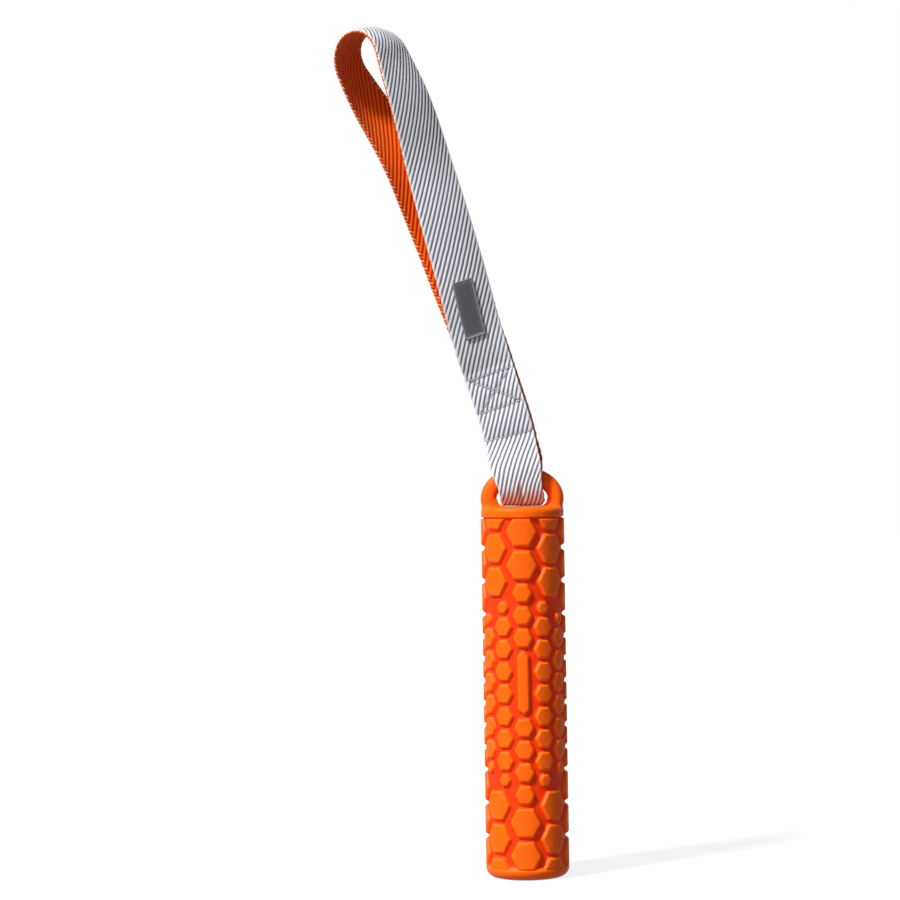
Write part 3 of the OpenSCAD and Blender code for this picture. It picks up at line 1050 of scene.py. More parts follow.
    def far(self, pads: list[Pad], at: np.ndarray) -> np.ndarray:
        """How far points on the unrolled stick lie outside the nearest pad.

        Args:
            pads: The pads.
            at: The points.

        Returns:
            The distance, less than 0 inside a pad.
        """
        best = np.full(len(at), 99.0)
        for pad in pads:
            reach = np.abs(pad.outline).max(axis=0) + 4.0
            close = np.flatnonzero(np.all(np.abs(at - (pad.around, pad.up)) < reach, axis=1))
            best[close] = np.minimum(best[close], pad.distance(at[close]))
        return best

    def heights(self, at: np.ndarray, far: np.ndarray) -> np.ndarray:
        """How far points stand above the grooves' floor.

        Args:
            at: Points on the unrolled stick.
            far: How far each lies outside the nearest pad.

        Returns:
            The heights, in millimetres.
        """
        up = at[:, 1]
        pad = np.interp(far, self.edge_out, self.edge_high)
        pad = pad * np.interp(up, self.trim_at, self.trim_high)
        pad = pad * np.interp(up, self.cut_at, self.cut_high)
        ramp = np.interp(up, self.ramp_at, self.ramp_high)
        collar = np.interp(up, self.collar_at, self.collar_high)
        collar = collar * (self.collar_radius - self.floor_radius)
        return np.maximum(np.maximum(pad, ramp) * self.groove, collar)

    def wrap(self, at: np.ndarray, high: np.ndarray) -> np.ndarray:
        """Rolls points of the unrolled stick up into its surface.

        Args:
            at: The points. Heights under the base's rounding run on along its arc.
            high: How far each stands above the grooves' floor.

        Returns:
            The points in space.
        """
        up = at[:, 1]
        straight = self.length - self.base_round - self.collar_height
        share = np.clip((up - self.base_round) / straight, 0, 1)
        crown = self.crown * 4 * share * (1 - share) * (high < self.groove * 0.98)
        radius = np.minimum(self.floor_radius + crown + high, self.radius)
        round_angle = np.clip((self.base_round - up) / self.base_round, 0, math.pi / 2)
        under = up < self.base_round
        radius = np.where(under, radius - self.base_round * (1 - np.cos(round_angle)), radius)
        z = np.where(under, self.base_round * (1 - np.sin(round_angle)), up)
        a = at[:, 0] / self.radius
        return np.column_stack([radius * np.sin(a), -radius * np.cos(a), z])

    def unrolled(self) -> tuple[np.ndarray, np.ndarray, np.ndarray]:
        """Triangulates the stick's unrolled surface along the pads' edges.

        Returns:
            The points, the triangles, and how far each point lies outside the nearest pad.
        """
        pads = self.pads()
        half = self.girth / 2
        low = self.base_round * (1 - math.pi / 2)
        lines = FlatLines()
        self.lay_rows(lines, half, low)
        for pad in pads:
            self.lay_pad(lines, pad)
        self.lay_floor(lines, pads, half)
        verts, faces = lines.triangles(half, low, self.seam_height)
        return verts, faces, self.far(pads, verts)

    def lay_rows(self, lines: FlatLines, half: float, low: float) -> None:
        """Lays rows round both ends of the stick, and a column down each side of its seam.

        Args:
            lines: The lines so far.
            half: Half the stick's girth.
            low: The lower edge of the unrolled surface.
        """
        across = np.linspace(-half, half, round(self.girth / self.row_spacing) + 1)
        foot = [*np.linspace(low, self.ramp_at[0], 11), *self.ramp_at[1:]]
        head = [*self.cut_at, *self.collar_at, self.lip_row, self.seam_height]
        for row in foot + head:
            lines.lay(np.column_stack([across, np.full(len(across), row)]))
        seam = np.arange(foot[-1] + 0.8, head[0] - 0.3, self.seam_spacing)
        column = np.array([*foot, *seam, *head])
        for side in (-half, half):
            lines.lay(np.column_stack([np.full(len(column), side), column]))

    def lay_pad(self, lines: FlatLines, pad: Pad) -> None:
        """Lays rings of points down a pad's rounded edge, and smaller ones on its face."""
        for out in self.ring_out:
            lines.lay(pad.ring(out, self.ring_spacing), closed=True)
        middle = np.array([[pad.around, pad.up]])
        deep = abs(float(pad.distance(middle)[0]))
        inwards = 2.4
        while inwards < deep - 0.8:
            smaller = Pad(pad.around, pad.up, pad.outline * (1 - inwards / deep), corner=0.2)
            lines.lay(smaller.ring(0.0, self.face_spacing), closed=True, joined=False)
            inwards += self.face_spacing
        lines.lay(middle, joined=False)

    def lay_floor(self, lines: FlatLines, pads: list[Pad], half: float) -> None:
        """Lays loose points over the grooves' floor, clear of the pads' edges.

        Args:
            lines: The lines so far.
            pads: The pads.
            half: Half the stick's girth.
        """
        across = np.arange(-half + 0.9, half - 0.5, self.floor_spacing)
        up = np.arange(self.ramp_at[-1] + 1.0, self.cut_at[0] - 0.4, self.floor_spacing)
        grid = np.stack(np.meshgrid(across, up), axis=-1).reshape(-1, 2)
        grid[:, 0] += 0.35 * np.sin(grid[:, 1] * 12.7)
        clear = self.far(pads, grid) > self.ring_out[-1] + 0.45
        lines.lay(grid[clear], joined=False)

    def build(self) -> bpy.types.Object:
        """Makes the moulding's mesh and dresses it.

        Returns:
            The moulding, which rides on the bumper and stands for its shell.
        """
        parts = MeshParts()
        flat, faces, far = self.unrolled()
        up = flat[:, 1]
        high = self.heights(flat, far)
        relief = np.clip(high / self.groove, 0, 1)
        relief[up > self.collar_at[-1] - 0.3] = 1.0
        # rim places the rubber's painted highlight along the pads' rims.
        rim = np.exp(-(((far - self.rim_highlight_at) / self.rim_highlight_width) ** 2))
        rim = rim * (np.abs(up - self.length / 2) < self.rim_highlight_half)
        parts.add(self.wrap(flat, high), faces, relief=relief, rim=rim)

        round_once = [i for i in np.argsort(flat[:, 0]) if flat[i, 0] < self.girth / 2 - NEAR]
        foot = [i for i in round_once if up[i] < up.min() + NEAR]
        lip = [i for i in round_once if up[i] > self.seam_height - NEAR]
        self.add_inside(parts, foot, flat[foot, 0] / self.radius)
        self.add_bail(parts, lip, flat[lip, 0] / self.radius)
        obj = parts.build("moulded_stick")
        weld(obj, 4e-6)
        dress(obj, self.finish.material())
        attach(obj, Body.BUMPER.value)
        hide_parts("bumper_shell")
        return obj

    def add_inside(self, parts: MeshParts, foot: list[int], angles: np.ndarray) -> None:
        """Adds the flat base, the plug's bore and the core's cavity.

        Args:
            parts: The mesh so far.
            foot: The points of the ring where the base's rounding meets the floor.
            angles: The angle of each of them.
        """
        bore, core, top = self.plug_bore, self.core_bore, self.length - self.core_wall
        profile = (
            (15.0, 0.0),
            (9.0, 0.0),
            (bore + 0.3, 0.05),
            (bore, 0.4),
            (bore, self.core_wall),
            (core, self.core_wall),
            (core, top),
            (0.4, top),
        )
        n = len(foot)
        before = list(foot)
        for radius, z in profile:
            ring = [radius * np.sin(angles), -radius * np.cos(angles), np.full(n, z)]
            start = parts.add(np.column_stack(ring), [], relief=np.ones(n), rim=np.zeros(n))
            now = [start + k for k in range(n)]
            after = [(k + 1) % n for k in range(n)]
            parts.bridge([(before[k], now[k], now[j], before[j]) for k, j in enumerate(after)])
            before = now
        parts.bridge([tuple(before)])

    def add_bail(self, parts: MeshParts, lip: list[int], angles: np.ndarray) -> None:
        """Adds the collar's top and the bail, and sews them to the stick's top ring.

        Args:
            parts: The mesh so far.
            lip: The points of the stick's top ring.
            angles: The angle of each of them.
        """
        points, faces = self.bail.surface(self)
        n = len(points)
        start = parts.add(points, faces, relief=np.ones(n), rim=np.zeros(n))
        uses: dict[tuple[int, int], int] = {}
        for face in faces:
            for a, b in zip(face, (*face[1:], face[0])):
                key = (min(a, b), max(a, b))
                uses[key] = uses.get(key, 0) + 1
        border = sorted({i for key, times in uses.items() if times == 1 for i in key})
        turn = np.arctan2(points[border, 0], -points[border, 1])
        order = np.argsort(turn)
        upper = [(float(turn[i]), start + border[i]) for i in order]
        lower = sorted(zip(angles.tolist(), lip))
        upper.append((upper[0][0] + TAU, upper[0][1]))
        lower.append((lower[0][0] + TAU, lower[0][1]))
        i = k = 0
        while i < len(lower) - 1 or k < len(upper) - 1:
            low_left, high_left = i < len(lower) - 1, k < len(upper) - 1
            if not high_left or (low_left and lower[i + 1][0] <= upper[k + 1][0]):
                parts.bridge([(lower[i][1], lower[i + 1][1], upper[k][1])])
                i += 1
            else:
                parts.bridge([(lower[i][1], upper[k + 1][1], upper[k][1])])
                k += 1


@dataclass
class Bail:
    """The bail: a rounded bar bent over the stick's top, with a slot for the webbing."""

    reach_x: float = 20.45
    reach_z: float = 14.55
    centre_z: float = 230.0
    bar_width: float = 9.7
    bar_depth: float = 10.0
    squareness: float = 2.5
    slot_fillet: float = 4.2
    corner_depth: float = 7.2
    root_fillet: float = 2.4
    corner_fillet: float = 1.2
    # The middle line's sweep in degrees, from foot to foot, and the grid that the skin is read on
    sweep: tuple[float, float] = (-34.0, 214.0)
    cell: float = 0.56
    cells_across: int = 96
    grid_half: float = 26.6
    grid_top: float = 251.0

    def line(self) -> np.ndarray:
        """Points along the bar's middle line, with the bar's outward direction there."""
        t = np.radians(np.linspace(*self.sweep, 400))
        across, up = self.reach_x * np.cos(t), self.centre_z + self.reach_z * np.sin(t)
        place = np.column_stack([across, up])
        out = np.column_stack([self.reach_z * np.cos(t), self.reach_x * np.sin(t)])
        return np.hstack([place, out / np.linalg.norm(out, axis=1)[:, None]])

    def off_line(self, x: np.ndarray, z: np.ndarray) -> np.ndarray:
        """How far points lie from the bar's middle line, in the plane of the bail.

        Args:
            x: The points' places across the stick.
            z: Their heights.

        Returns:
            The distances.
        """
        line = self.line()
        near = np.empty(len(x))
        batch = 4000
        for start in range(0, len(x), batch):
            part = slice(start, start + batch)
            dx = x[part, None] - line[None, :, 0]
            dz = z[part, None] - line[None, :, 1]
            square = dx * dx + dz * dz
            best = square.argmin(axis=1)
            row = np.arange(len(best))
            along = -dx[row, best] * line[best, 3] + dz[row, best] * line[best, 2]
            limit = (best > 0) & (best < len(line) - 1)
            square = square[row, best] - np.where(limit, along, 0.0) ** 2
            near[part] = np.sqrt(np.maximum(square, 0.0))
        return near

    def field(
        self, stick: MouldedStick, points: np.ndarray, off: np.ndarray | None = None
    ) -> np.ndarray:
        """The joined body's signed distance.

        Args:
            stick: The stick that the bail stands on.
            points: The places to read it at.
            off: The distances to the bar's middle line, if they are known.

        Returns:
            The distances, less than 0 inside.
        """
        x, y, z = points.T
        if off is None:
            off = self.off_line(x, z)
        n = self.squareness
        a, b = self.bar_width / 2, self.bar_depth / 2
        section = (off / a) ** n + (np.abs(y) / b) ** n
        bar = (section ** (1 / n) - 1) * (a + b) / 2
        flat = stick.collar_radius - stick.collar_round
        qr, qz = np.hypot(x, y) - flat, z - (stick.length - stick.collar_round)
        outside = np.hypot(np.maximum(qr, 0), np.maximum(qz, 0))
        collar = outside + np.minimum(np.maximum(qr, qz), 0) - stick.collar_round
        r = self.slot_fillet
        rise = (self.centre_z - stick.length - r / 2) / self.reach_z
        half = self.reach_x * math.sqrt(1 - rise**2) - self.bar_width / 2
        cx, cz = half - r, stick.length + r
        hollow = r - np.hypot(np.abs(x) - cx, z - cz)
        sides = (cx - np.abs(x), np.abs(x) - half - 2, z - cz, np.abs(y) - self.corner_depth / 2)
        corner = np.maximum.reduce([hollow, *sides])
        body = smooth_union(bar, collar, self.root_fillet)
        return smooth_union(body, corner, self.corner_fillet)

    def surface(self, stick: MouldedStick) -> tuple[np.ndarray, list[tuple[int, ...]]]:
        """Draws the skin of the collar's top and the bail.

        Args:
            stick: The stick that the bail stands on.

        Returns:
            The points and faces, open below.
        """
        step = self.cell
        low = np.array([-self.grid_half, -self.grid_half, stick.seam_height])
        tall = math.ceil((self.grid_top - stick.seam_height) / step)
        count = (self.cells_across, self.cells_across, tall)
        axes = [low[k] + step * np.arange(count[k] + 1) for k in range(3)]
        gx, gz = np.meshgrid(axes[0], axes[2], indexing="ij")
        off = self.off_line(gx.ravel(), gz.ravel()).reshape(gx.shape)
        grid = np.stack(np.meshgrid(*axes, indexing="ij"), axis=-1)
        off_all = np.broadcast_to(off[:, None, :], grid.shape[:3]).reshape(-1)
        values = self.field(stick, grid.reshape(-1, 3), off_all).reshape(grid.shape[:3])
        points, faces = self.net(values, low, step)
        for _ in range(3):
            points = self.settled(stick, points)
        return points, faces

    def settled(self, stick: MouldedStick, points: np.ndarray) -> np.ndarray:
        """Moves points down the field's slope, nearer to the skin.

        Args:
            stick: The stick that the bail stands on.
            points: The points.

        Returns:
            The points in their new places, each moved by 0.3 mm at most.
        """
        probe, longest, least_slope = 0.02, 0.3, 0.2
        here = self.field(stick, points)
        ahead = [self.field(stick, points + e) for e in probe * np.eye(3)]
        behind = [self.field(stick, points - e) for e in probe * np.eye(3)]
        slope = (np.column_stack(ahead) - np.column_stack(behind)) / (2 * probe)
        steep = np.maximum((slope**2).sum(axis=1), least_slope)[:, None]
        move = here[:, None] * slope / steep
        size = np.linalg.norm(move, axis=1)[:, None]
        return points - move * np.minimum(1.0, longest / np.maximum(size, 1e-9))

    @staticmethod
    def net(
        values: np.ndarray, low: np.ndarray, step: float
    ) -> tuple[np.ndarray, list[tuple[int, ...]]]:
        """Draws the skin where a field on a grid crosses nothing.

        Args:
            values: The field at the grid's nodes.
            low: The grid's lowest corner.
            step: The grid's spacing.

        Returns:
            One point in each cell that the skin crosses, and the faces between them.
        """
        n = np.array(values.shape) - 1
        corner = [(i, j, k) for i in (0, 1) for j in (0, 1) for k in (0, 1)]
        view = {c: values[tuple(slice(c[k], c[k] + n[k]) for k in range(3))] for c in corner}
        total = np.zeros((*n, 3))
        hits = np.zeros(n)
        for c in corner:
            for axis in range(3):
                if c[axis]:
                    continue
                d = tuple(v + (k == axis) for k, v in enumerate(c))
                crossed = (view[c] < 0) != (view[d] < 0)
                t = np.where(crossed, view[c] / np.where(crossed, view[c] - view[d], 1.0), 0.0)
                for k in range(3):
                    total[..., k] += np.where(crossed, c[k] + (t if k == axis else 0.0), 0.0)
                hits += crossed
        active = hits > 0
        index = np.full(n, -1)
        index[active] = np.arange(active.sum())
        cells = np.argwhere(active)
        points = low + step * (cells + total[active] / hits[active][:, None])
        faces: list[tuple[int, ...]] = []
        for axis in range(3):
            u, v = [k for k in range(3) if k != axis]
            lead = [slice(None)] * 3
            tail = [slice(None)] * 3
            lead[axis], tail[axis] = slice(0, -1), slice(1, None)
            crossed = (values[tuple(lead)] < 0) != (values[tuple(tail)] < 0)
            for node in np.argwhere(crossed):
                if min(node[u], node[v]) == 0 or node[u] >= n[u] or node[v] >= n[v]:
                    continue
                quad = []
                for du, dv in ((-1, -1), (0, -1), (0, 0), (-1, 0)):
                    cell = node.copy()
                    cell[u] += du
                    cell[v] += dv
                    quad.append(int(index[tuple(cell)]))
                inside_first = values[tuple(node)] < 0
                if inside_first == (axis == 1):
                    quad.reverse()
                faces.append(tuple(quad))
        return points, faces


# --- The handle --------------------------------------------------------------


@dataclass
class HandleLine:
    """The line that the handle follows.

    From it, u runs up from the bail's bar, v across the runs of webbing towards the front,
    and w across the webbing.
    """

    length: float = 291.0
    bar_height: float = 244.55
    shift: float = 0.6
    bottom: float = -16.95
    web_width: float = 31.75
    web_thickness: float = 2.0
    bunched_width: float = 26.4
    bunch: tuple[float, float] = (-11.0, 9.0)
    fold_radius: float = 9.275
    fold_at: float = -5.675
    # How far the fold's lowest part hangs, at shares of the half width
    sag_across: tuple[float, ...] = (-1.0, -0.8, 0.8, 1.0)
    fold_sag: tuple[float, ...] = (0.5, 0.9, 4.1, 2.1)
    row_at: float = 24.4
    box_from: float = 42.6
    box_to: float = 63.8
    box_inset: float = 2.6
    covered_end: float = 1.2
    back_end: float = 3.6
    bend_at: float = 67.3
    run_half: float = 2.1
    loop_half: float = 15.6
    crown: float = 2.3
    crown_run: float = 30.0
    cap_at: float = 268.0
    cap_length: float = 22.0
    # By share of the length: the lean to the left, and the turn of the face, in degrees
    bends: np.ndarray = field(
        default_factory=lambda: np.array(
            [
                [-0.07, 8, 0],
                [0, 10, 0],
                [0.07, 12, -10],
                [0.14, 17.5, -11],
                [0.21, 17.5, -9],
                [0.31, 18, 2],
                [0.41, 17.5, 12],
                [0.55, 18.5, 19],
                [0.69, 20, 31],
                [0.83, 25, 44],
                [1, 21, 70],
            ],
            float,
        )
    )
    # By share of the hand loop: how far open it is
    opening: np.ndarray = field(
        default_factory=lambda: np.array(
            [
                [0, 0],
                [0.05, 0.2],
                [0.12, 0.41],
                [0.26, 0.75],
                [0.46, 0.97],
                [0.65, 0.97],
                [0.85, 1.24],
                [1, 1.22],
            ],
            float,
        )
    )

    def __post_init__(self) -> None:
        """Adds the handle's middle line up in short steps."""
        step = 0.25
        self.at = np.arange(-24.0, self.length + 12.0, step)
        middle = np.radians(self.lean(self.at[:-1] + step / 2))
        self.sideways = np.concatenate([[0.0], np.cumsum(-step * np.sin(middle))])
        self.upwards = np.concatenate([[0.0], np.cumsum(step * np.cos(middle))])

    def lean(self, u: np.ndarray) -> np.ndarray:
        """The handle's lean to the left, in degrees."""
        return through(self.bends, 1, np.asarray(u, float) / self.length)

    def yaw(self, u: np.ndarray) -> np.ndarray:
        """The turn of the webbing's face to the right, in degrees."""
        return through(self.bends, 2, np.asarray(u, float) / self.length)

    def place(self, u: np.ndarray, v: np.ndarray, w: np.ndarray) -> np.ndarray:
        """Turns handle coordinates into places.

        Args:
            u: Along the handle.
            v: Across the runs, towards the front.
            w: Across the webbing.

        Returns:
            The places, one row each.
        """
        u, v, w = np.broadcast_arrays(*(np.asarray(a, float) for a in (u, v, w)))
        lean, yaw = np.radians(self.lean(u)), np.radians(self.yaw(u))
        aside, up = (np.interp(u, self.at, line) for line in (self.sideways, self.upwards))
        x = self.shift + aside - np.interp(self.bottom, self.at, self.sideways)
        z = self.bar_height + up - np.interp(0.0, self.at, self.upwards)
        return np.stack(
            [
                x + v * np.sin(yaw) * np.cos(lean) + w * np.cos(yaw) * np.cos(lean),
                -v * np.cos(yaw) + w * np.sin(yaw),
                z + v * np.sin(yaw) * np.sin(lean) + w * np.cos(yaw) * np.sin(lean),
            ],
            axis=-1,
        )

    def spot(self, u: float, v: float = 0.0, w: float = 0.0) -> tuple[float, float, float]:
        """One place in metres."""
        return tuple(float(c) * MM for c in self.place(u, v, w))

    def width(self, u: np.ndarray) -> np.ndarray:
        """The webbing's width, which is bunched in the bail's slot."""
        spread = ease(*self.bunch, u)
        return self.bunched_width + (self.web_width - self.bunched_width) * spread

    def crowned(self, u: np.ndarray, w: np.ndarray) -> np.ndarray:
        """How far the hand loop's edges bow in behind its middle."""
        rise = ease(self.bend_at, self.bend_at + self.crown_run, u)
        return self.crown * rise * (w / (self.web_width / 2)) ** 2

    def half_gap(self, u: np.ndarray) -> np.ndarray:
        """Half the distance between the hand loop's runs, middle to middle."""
        share = (np.asarray(u, float) - self.bend_at) / (self.cap_at - self.bend_at)
        return self.run_half + (self.loop_half - self.run_half) * through(self.opening, 1, share)

    def front_run(self, u: np.ndarray) -> np.ndarray:
        """How far the front run's middle lies before the handle's middle."""
        wide = self.fold_radius + self.web_thickness / 2
        fold = self.run_half + (wide - self.run_half) * (1 - ease(0, self.row_at, u))
        return np.where(u < self.bend_at, fold, self.half_gap(u))

    def inner_run(self, u: np.ndarray) -> np.ndarray:
        """How far the strap's covered end lies behind the handle's middle."""
        return (self.fold_radius + self.web_thickness / 2) * (1 - ease(0, self.row_at, u))

    def back_run(self, u: np.ndarray) -> np.ndarray:
        """How far the back run's middle lies behind the handle's middle."""
        return np.where(u < self.bend_at, self.run_half + self.inner_run(u), self.half_gap(u))

    def strap_line(self, step: float) -> tuple[np.ndarray, np.ndarray]:
        """Follows the whole strap from its covered end round to its back end.

        Args:
            step: The distance between points along it.

        Returns:
            The strap's middle line as [u, v], and the direction of its outer face there.
        """
        fine = 0.2
        down = np.arange(self.box_to + self.covered_end, self.fold_at, -fine)
        wide = self.fold_radius + self.web_thickness / 2
        turn = np.linspace(0, math.pi, 200)
        up = np.arange(self.fold_at, self.cap_at, fine)
        cap = np.linspace(0, math.pi, 260)
        wide_cap = float(self.half_gap(self.cap_at))
        back = np.arange(self.cap_at, self.row_at - self.back_end, -fine)
        line = np.vstack(
            [
                np.column_stack([down, -self.inner_run(down)]),
                np.column_stack([self.fold_at - wide * np.sin(turn), -wide * np.cos(turn)]),
                np.column_stack([up, self.front_run(up)]),
                np.column_stack(
                    [self.cap_at + self.cap_length * np.sin(cap), wide_cap * np.cos(cap)]
                ),
                np.column_stack([back, -self.back_run(back)]),
            ]
        )
        gone = np.concatenate([[0], np.cumsum(np.linalg.norm(np.diff(line, axis=0), axis=1))])
        at = np.arange(0, gone[-1], step)
        line = np.column_stack([np.interp(at, gone, line[:, k]) for k in (0, 1)])
        way = np.gradient(line, axis=0)
        way /= np.linalg.norm(way, axis=1)[:, None]
        kernel = np.hanning(9)[1:-1]
        kernel /= kernel.sum()
        padded = np.vstack([np.repeat(way[:1], 3, axis=0), way, np.repeat(way[-1:], 3, axis=0)])
        way = np.column_stack([np.convolve(padded[:, k], kernel, mode="valid") for k in (0, 1)])
        way /= np.linalg.norm(way, axis=1)[:, None]
        return line, np.column_stack([-way[:, 1], way[:, 0]])


@dataclass(frozen=True)
class StrapGrid:
    """The strap's points before they are placed, in rows along it."""

    line: np.ndarray
    normal: np.ndarray
    along: np.ndarray
    across: np.ndarray
    tight: np.ndarray
    sag: np.ndarray
    outer: np.ndarray
    inner: np.ndarray
    pinch: np.ndarray


@dataclass
class Strap:
    """The one strap of webbing: fold, sewn part and hand loop, with its ribs as relief."""

    line: HandleLine
    angle: float = 30.0
    columns: int = 61
    samples: int = 6
    rib_height: float = 0.24
    rim: float = 0.6
    edge_in: float = 0.25
    edge_out: float = 0.12
    edge_rib: float = 0.22
    edge_pick: float = 0.06
    edge_pick_length: float = 1.45
    crease: float = 1.8
    crease_at: float = -0.8
    crease_slant: float = 0.8
    crease_width: float = 1.3
    crease_turn: float = 0.95
    crease_span: float = 0.55
    ripple: float = 0.1
    ripple_span: float = 0.7
    ripple_width: float = 15.0
    pinch: float = 0.42
    pinch_width: float = 0.75
    thread_width: float = 0.55
    puff: float = 1.0
    box_puff: float = 0.45
    box_puff_width: float = 2.5

    @property
    def spacing(self) -> float:
        """The distance between points across the strap."""
        return self.line.web_width / self.columns

    @property
    def step(self) -> float:
        """The distance between points along the strap, so that the ribs follow the mesh."""
        return self.spacing / math.tan(math.radians(self.angle))

    @property
    def pitch(self) -> float:
        """The distance between ribs, square to them."""
        return self.samples * self.step * math.sin(math.radians(self.angle))

    def rib(self, along: np.ndarray, across: np.ndarray, way: float) -> np.ndarray:
        """The height of one face's ribs.

        Args:
            along: Places along the strap.
            across: Places across it.
            way: 1 on the outer face, -1 on the inner one.

        Returns:
            The height, from -1 in a groove to 1 on a rib.
        """
        a = math.radians(self.angle)
        phase = (across * math.cos(a) - way * along * math.sin(a)) / self.pitch
        wave = np.cos(TAU * phase)
        return 1 - 2 * ((1 - wave) / 2) ** 1.5

    def pinched(self, u: np.ndarray, w: np.ndarray) -> np.ndarray:
        """How far the stitches draw the webbing in.

        Args:
            u: Places along the handle.
            w: Places across the webbing.

        Returns:
            The depth in millimetres, under 0 where the webbing puffs up, and how near
            the stitches are, from 0 to 1.
        """
        h = self.line
        beyond = 9.0  # farther than any stitch draws
        half = h.web_width / 2 - h.box_inset
        middle, reach = (h.box_from + h.box_to) / 2, (h.box_to - h.box_from) / 2
        slope = math.atan2(half, reach)
        rise, run = (u - middle) * math.sin(slope), w * math.cos(slope)
        cross = np.minimum(np.abs(rise - run), np.abs(rise + run))
        inside = (np.abs(u - middle) < reach + 0.4) & (np.abs(w) < half + 0.4)
        line = np.where(inside, cross, beyond)
        ends = np.minimum(np.abs(u - h.box_from), np.abs(u - h.box_to))
        edge = np.where(np.abs(w) < half + 1.0, ends, beyond)
        near = np.minimum(np.minimum(line, edge), np.abs(u - h.row_at))
        between = np.clip((u - h.row_at) / (h.box_from - h.row_at), 0, 1)
        boxed = np.clip((u - h.box_from) / (h.box_to - h.box_from), 0, 1)
        bulge = 1 - 0.5 * (np.abs(w) / half) ** 4
        puff = self.puff * bulge * np.sin(np.pi * between) ** 1.2
        off_cross = 1 - np.exp(-((cross / self.box_puff_width) ** 2))
        puff += self.box_puff * np.sin(np.pi * boxed) * off_cross
        drawn = self.pinch * np.exp(-((near / self.pinch_width) ** 2))
        return np.stack([drawn - puff, np.exp(-((near / self.thread_width) ** 2))])

    def creased(self, turn: np.ndarray, u: np.ndarray, w: np.ndarray) -> np.ndarray:
        """How far the bunched fold is drawn in along its middle.

        Args:
            turn: How far round the fold each place lies, 0 at its lowest point.
            u: Places along the handle.
            w: Places across the webbing.

        Returns:
            The depth in millimetres.
        """
        share = np.exp(-(((turn - self.crease_turn) / self.crease_span) ** 4))
        share = share * (u < self.line.fold_at + 4)
        near = (w - self.crease_at - self.crease_slant * turn) / self.crease_width
        under = self.ripple * np.exp(-((turn / self.ripple_span) ** 4))
        under = under * (1 - np.cos(TAU * w / self.ripple_width))
        return share * self.crease * np.exp(-near * near) + under

    def grid(self) -> StrapGrid:
        """Works out the strap's points.

        Returns:
            The strap's middle line, and how far both faces lie off it.
        """
        h = self.line
        line, normal = h.strap_line(self.step)
        rows, half = len(line), h.web_width / 2
        s = self.step * np.arange(rows)
        w = self.spacing * (np.arange(self.columns + 1) - self.columns / 2)
        along, across = np.meshgrid(s, w, indexing="ij")
        u, v = (np.repeat(line[:, k : k + 1], len(w), axis=1) for k in (0, 1))
        tight = (h.width(u) / h.web_width) * (half - self.edge_in) / half
        turn = np.where(u < h.fold_at + 2, np.arctan2(v, h.fold_at - u), 3.0)

        rim = np.clip((half - np.abs(across)) / self.rim, 0, 1)
        body = h.web_thickness / 2 * np.sqrt(1 - 0.3 * (1 - rim) ** 2)
        ends = np.minimum(np.arange(rows), rows - 1 - np.arange(rows))[:, None]
        body = body * np.where(ends < 1, 0.55, np.where(ends < 2, 0.9, 1.0))
        sewn = (u > 12) & (u < h.bend_at + 3) & (np.abs(v) > 1.5)
        drawn, pinch = np.where(sewn, self.pinched(u, across * tight), 0.0)
        fold = self.creased(turn, u, across * tight) + h.crowned(u, across * tight)
        soft = self.rib_height * (0.35 + 0.65 * rim)
        outer = body + soft * (self.rib(along, across, 1.0) - 1) * 0.5 - drawn - fold
        inner = -body - soft * (self.rib(along, across, -1.0) - 1) * 0.5 - fold
        low_share = np.clip(np.cos(turn), 0, 1) ** 1.5 * (u < h.fold_at + 4)
        sag = low_share * np.interp(across / half, h.sag_across, h.fold_sag)
        return StrapGrid(line, normal, along, across, tight, sag, outer, inner, pinch)

    def sheet(self, grid: StrapGrid, high: np.ndarray) -> np.ndarray:
        """Places one face of the strap, which lies that high off its middle line."""
        at_u = grid.line[:, :1] + grid.normal[:, :1] * high - grid.sag
        at_v = grid.line[:, 1:] + grid.normal[:, 1:] * high
        return self.line.place(at_u, at_v, grid.across * grid.tight).reshape(-1, 3)

    def add_side(self, parts: MeshParts, grid: StrapGrid, side: int, under: int) -> None:
        """Adds the woven edge down one side of the strap.

        Args:
            parts: The mesh so far, with both faces.
            grid: The strap's points.
            side: -1 on the left, 1 on the right.
            under: The index of the inner face's first point.
        """
        half = self.line.web_width / 2
        rows, n = grid.across.shape
        column = 0 if side < 0 else n - 1
        s = grid.along[:, 0]
        bulge = self.edge_rib * self.rib(s, np.full(rows, side * half), 1.0)
        bulge = bulge + self.edge_pick * np.sin(TAU * s / self.edge_pick_length)
        out = half * grid.tight[:, column] + self.edge_out + bulge
        middle = (grid.outer[:, column] + grid.inner[:, column]) / 2
        edge_u = grid.line[:, 0] + grid.normal[:, 0] * middle - grid.sag[:, column]
        edge_v = grid.line[:, 1] + grid.normal[:, 1] * middle
        edge = self.line.place(edge_u, edge_v, side * out)
        cloth = np.column_stack([s, np.full(rows, side * (half + 0.3)), np.zeros(rows)])
        start = parts.add(edge, [], cloth=cloth, pinch=np.zeros(rows))
        top = (np.arange(rows) * n + column).tolist()
        low = [under + p for p in top]
        mid = list(range(start, start + rows))
        for k in range(rows - 1):
            for a, b in ((top, mid), (mid, low)):
                quad = (a[k], b[k], b[k + 1], a[k + 1])
                parts.bridge([quad if side > 0 else quad[::-1]])
        for row, way in ((0, 1), (rows - 1, -1)):
            corner = (top[row], low[row], mid[row])
            parts.bridge([corner if side * way > 0 else corner[::-1]])

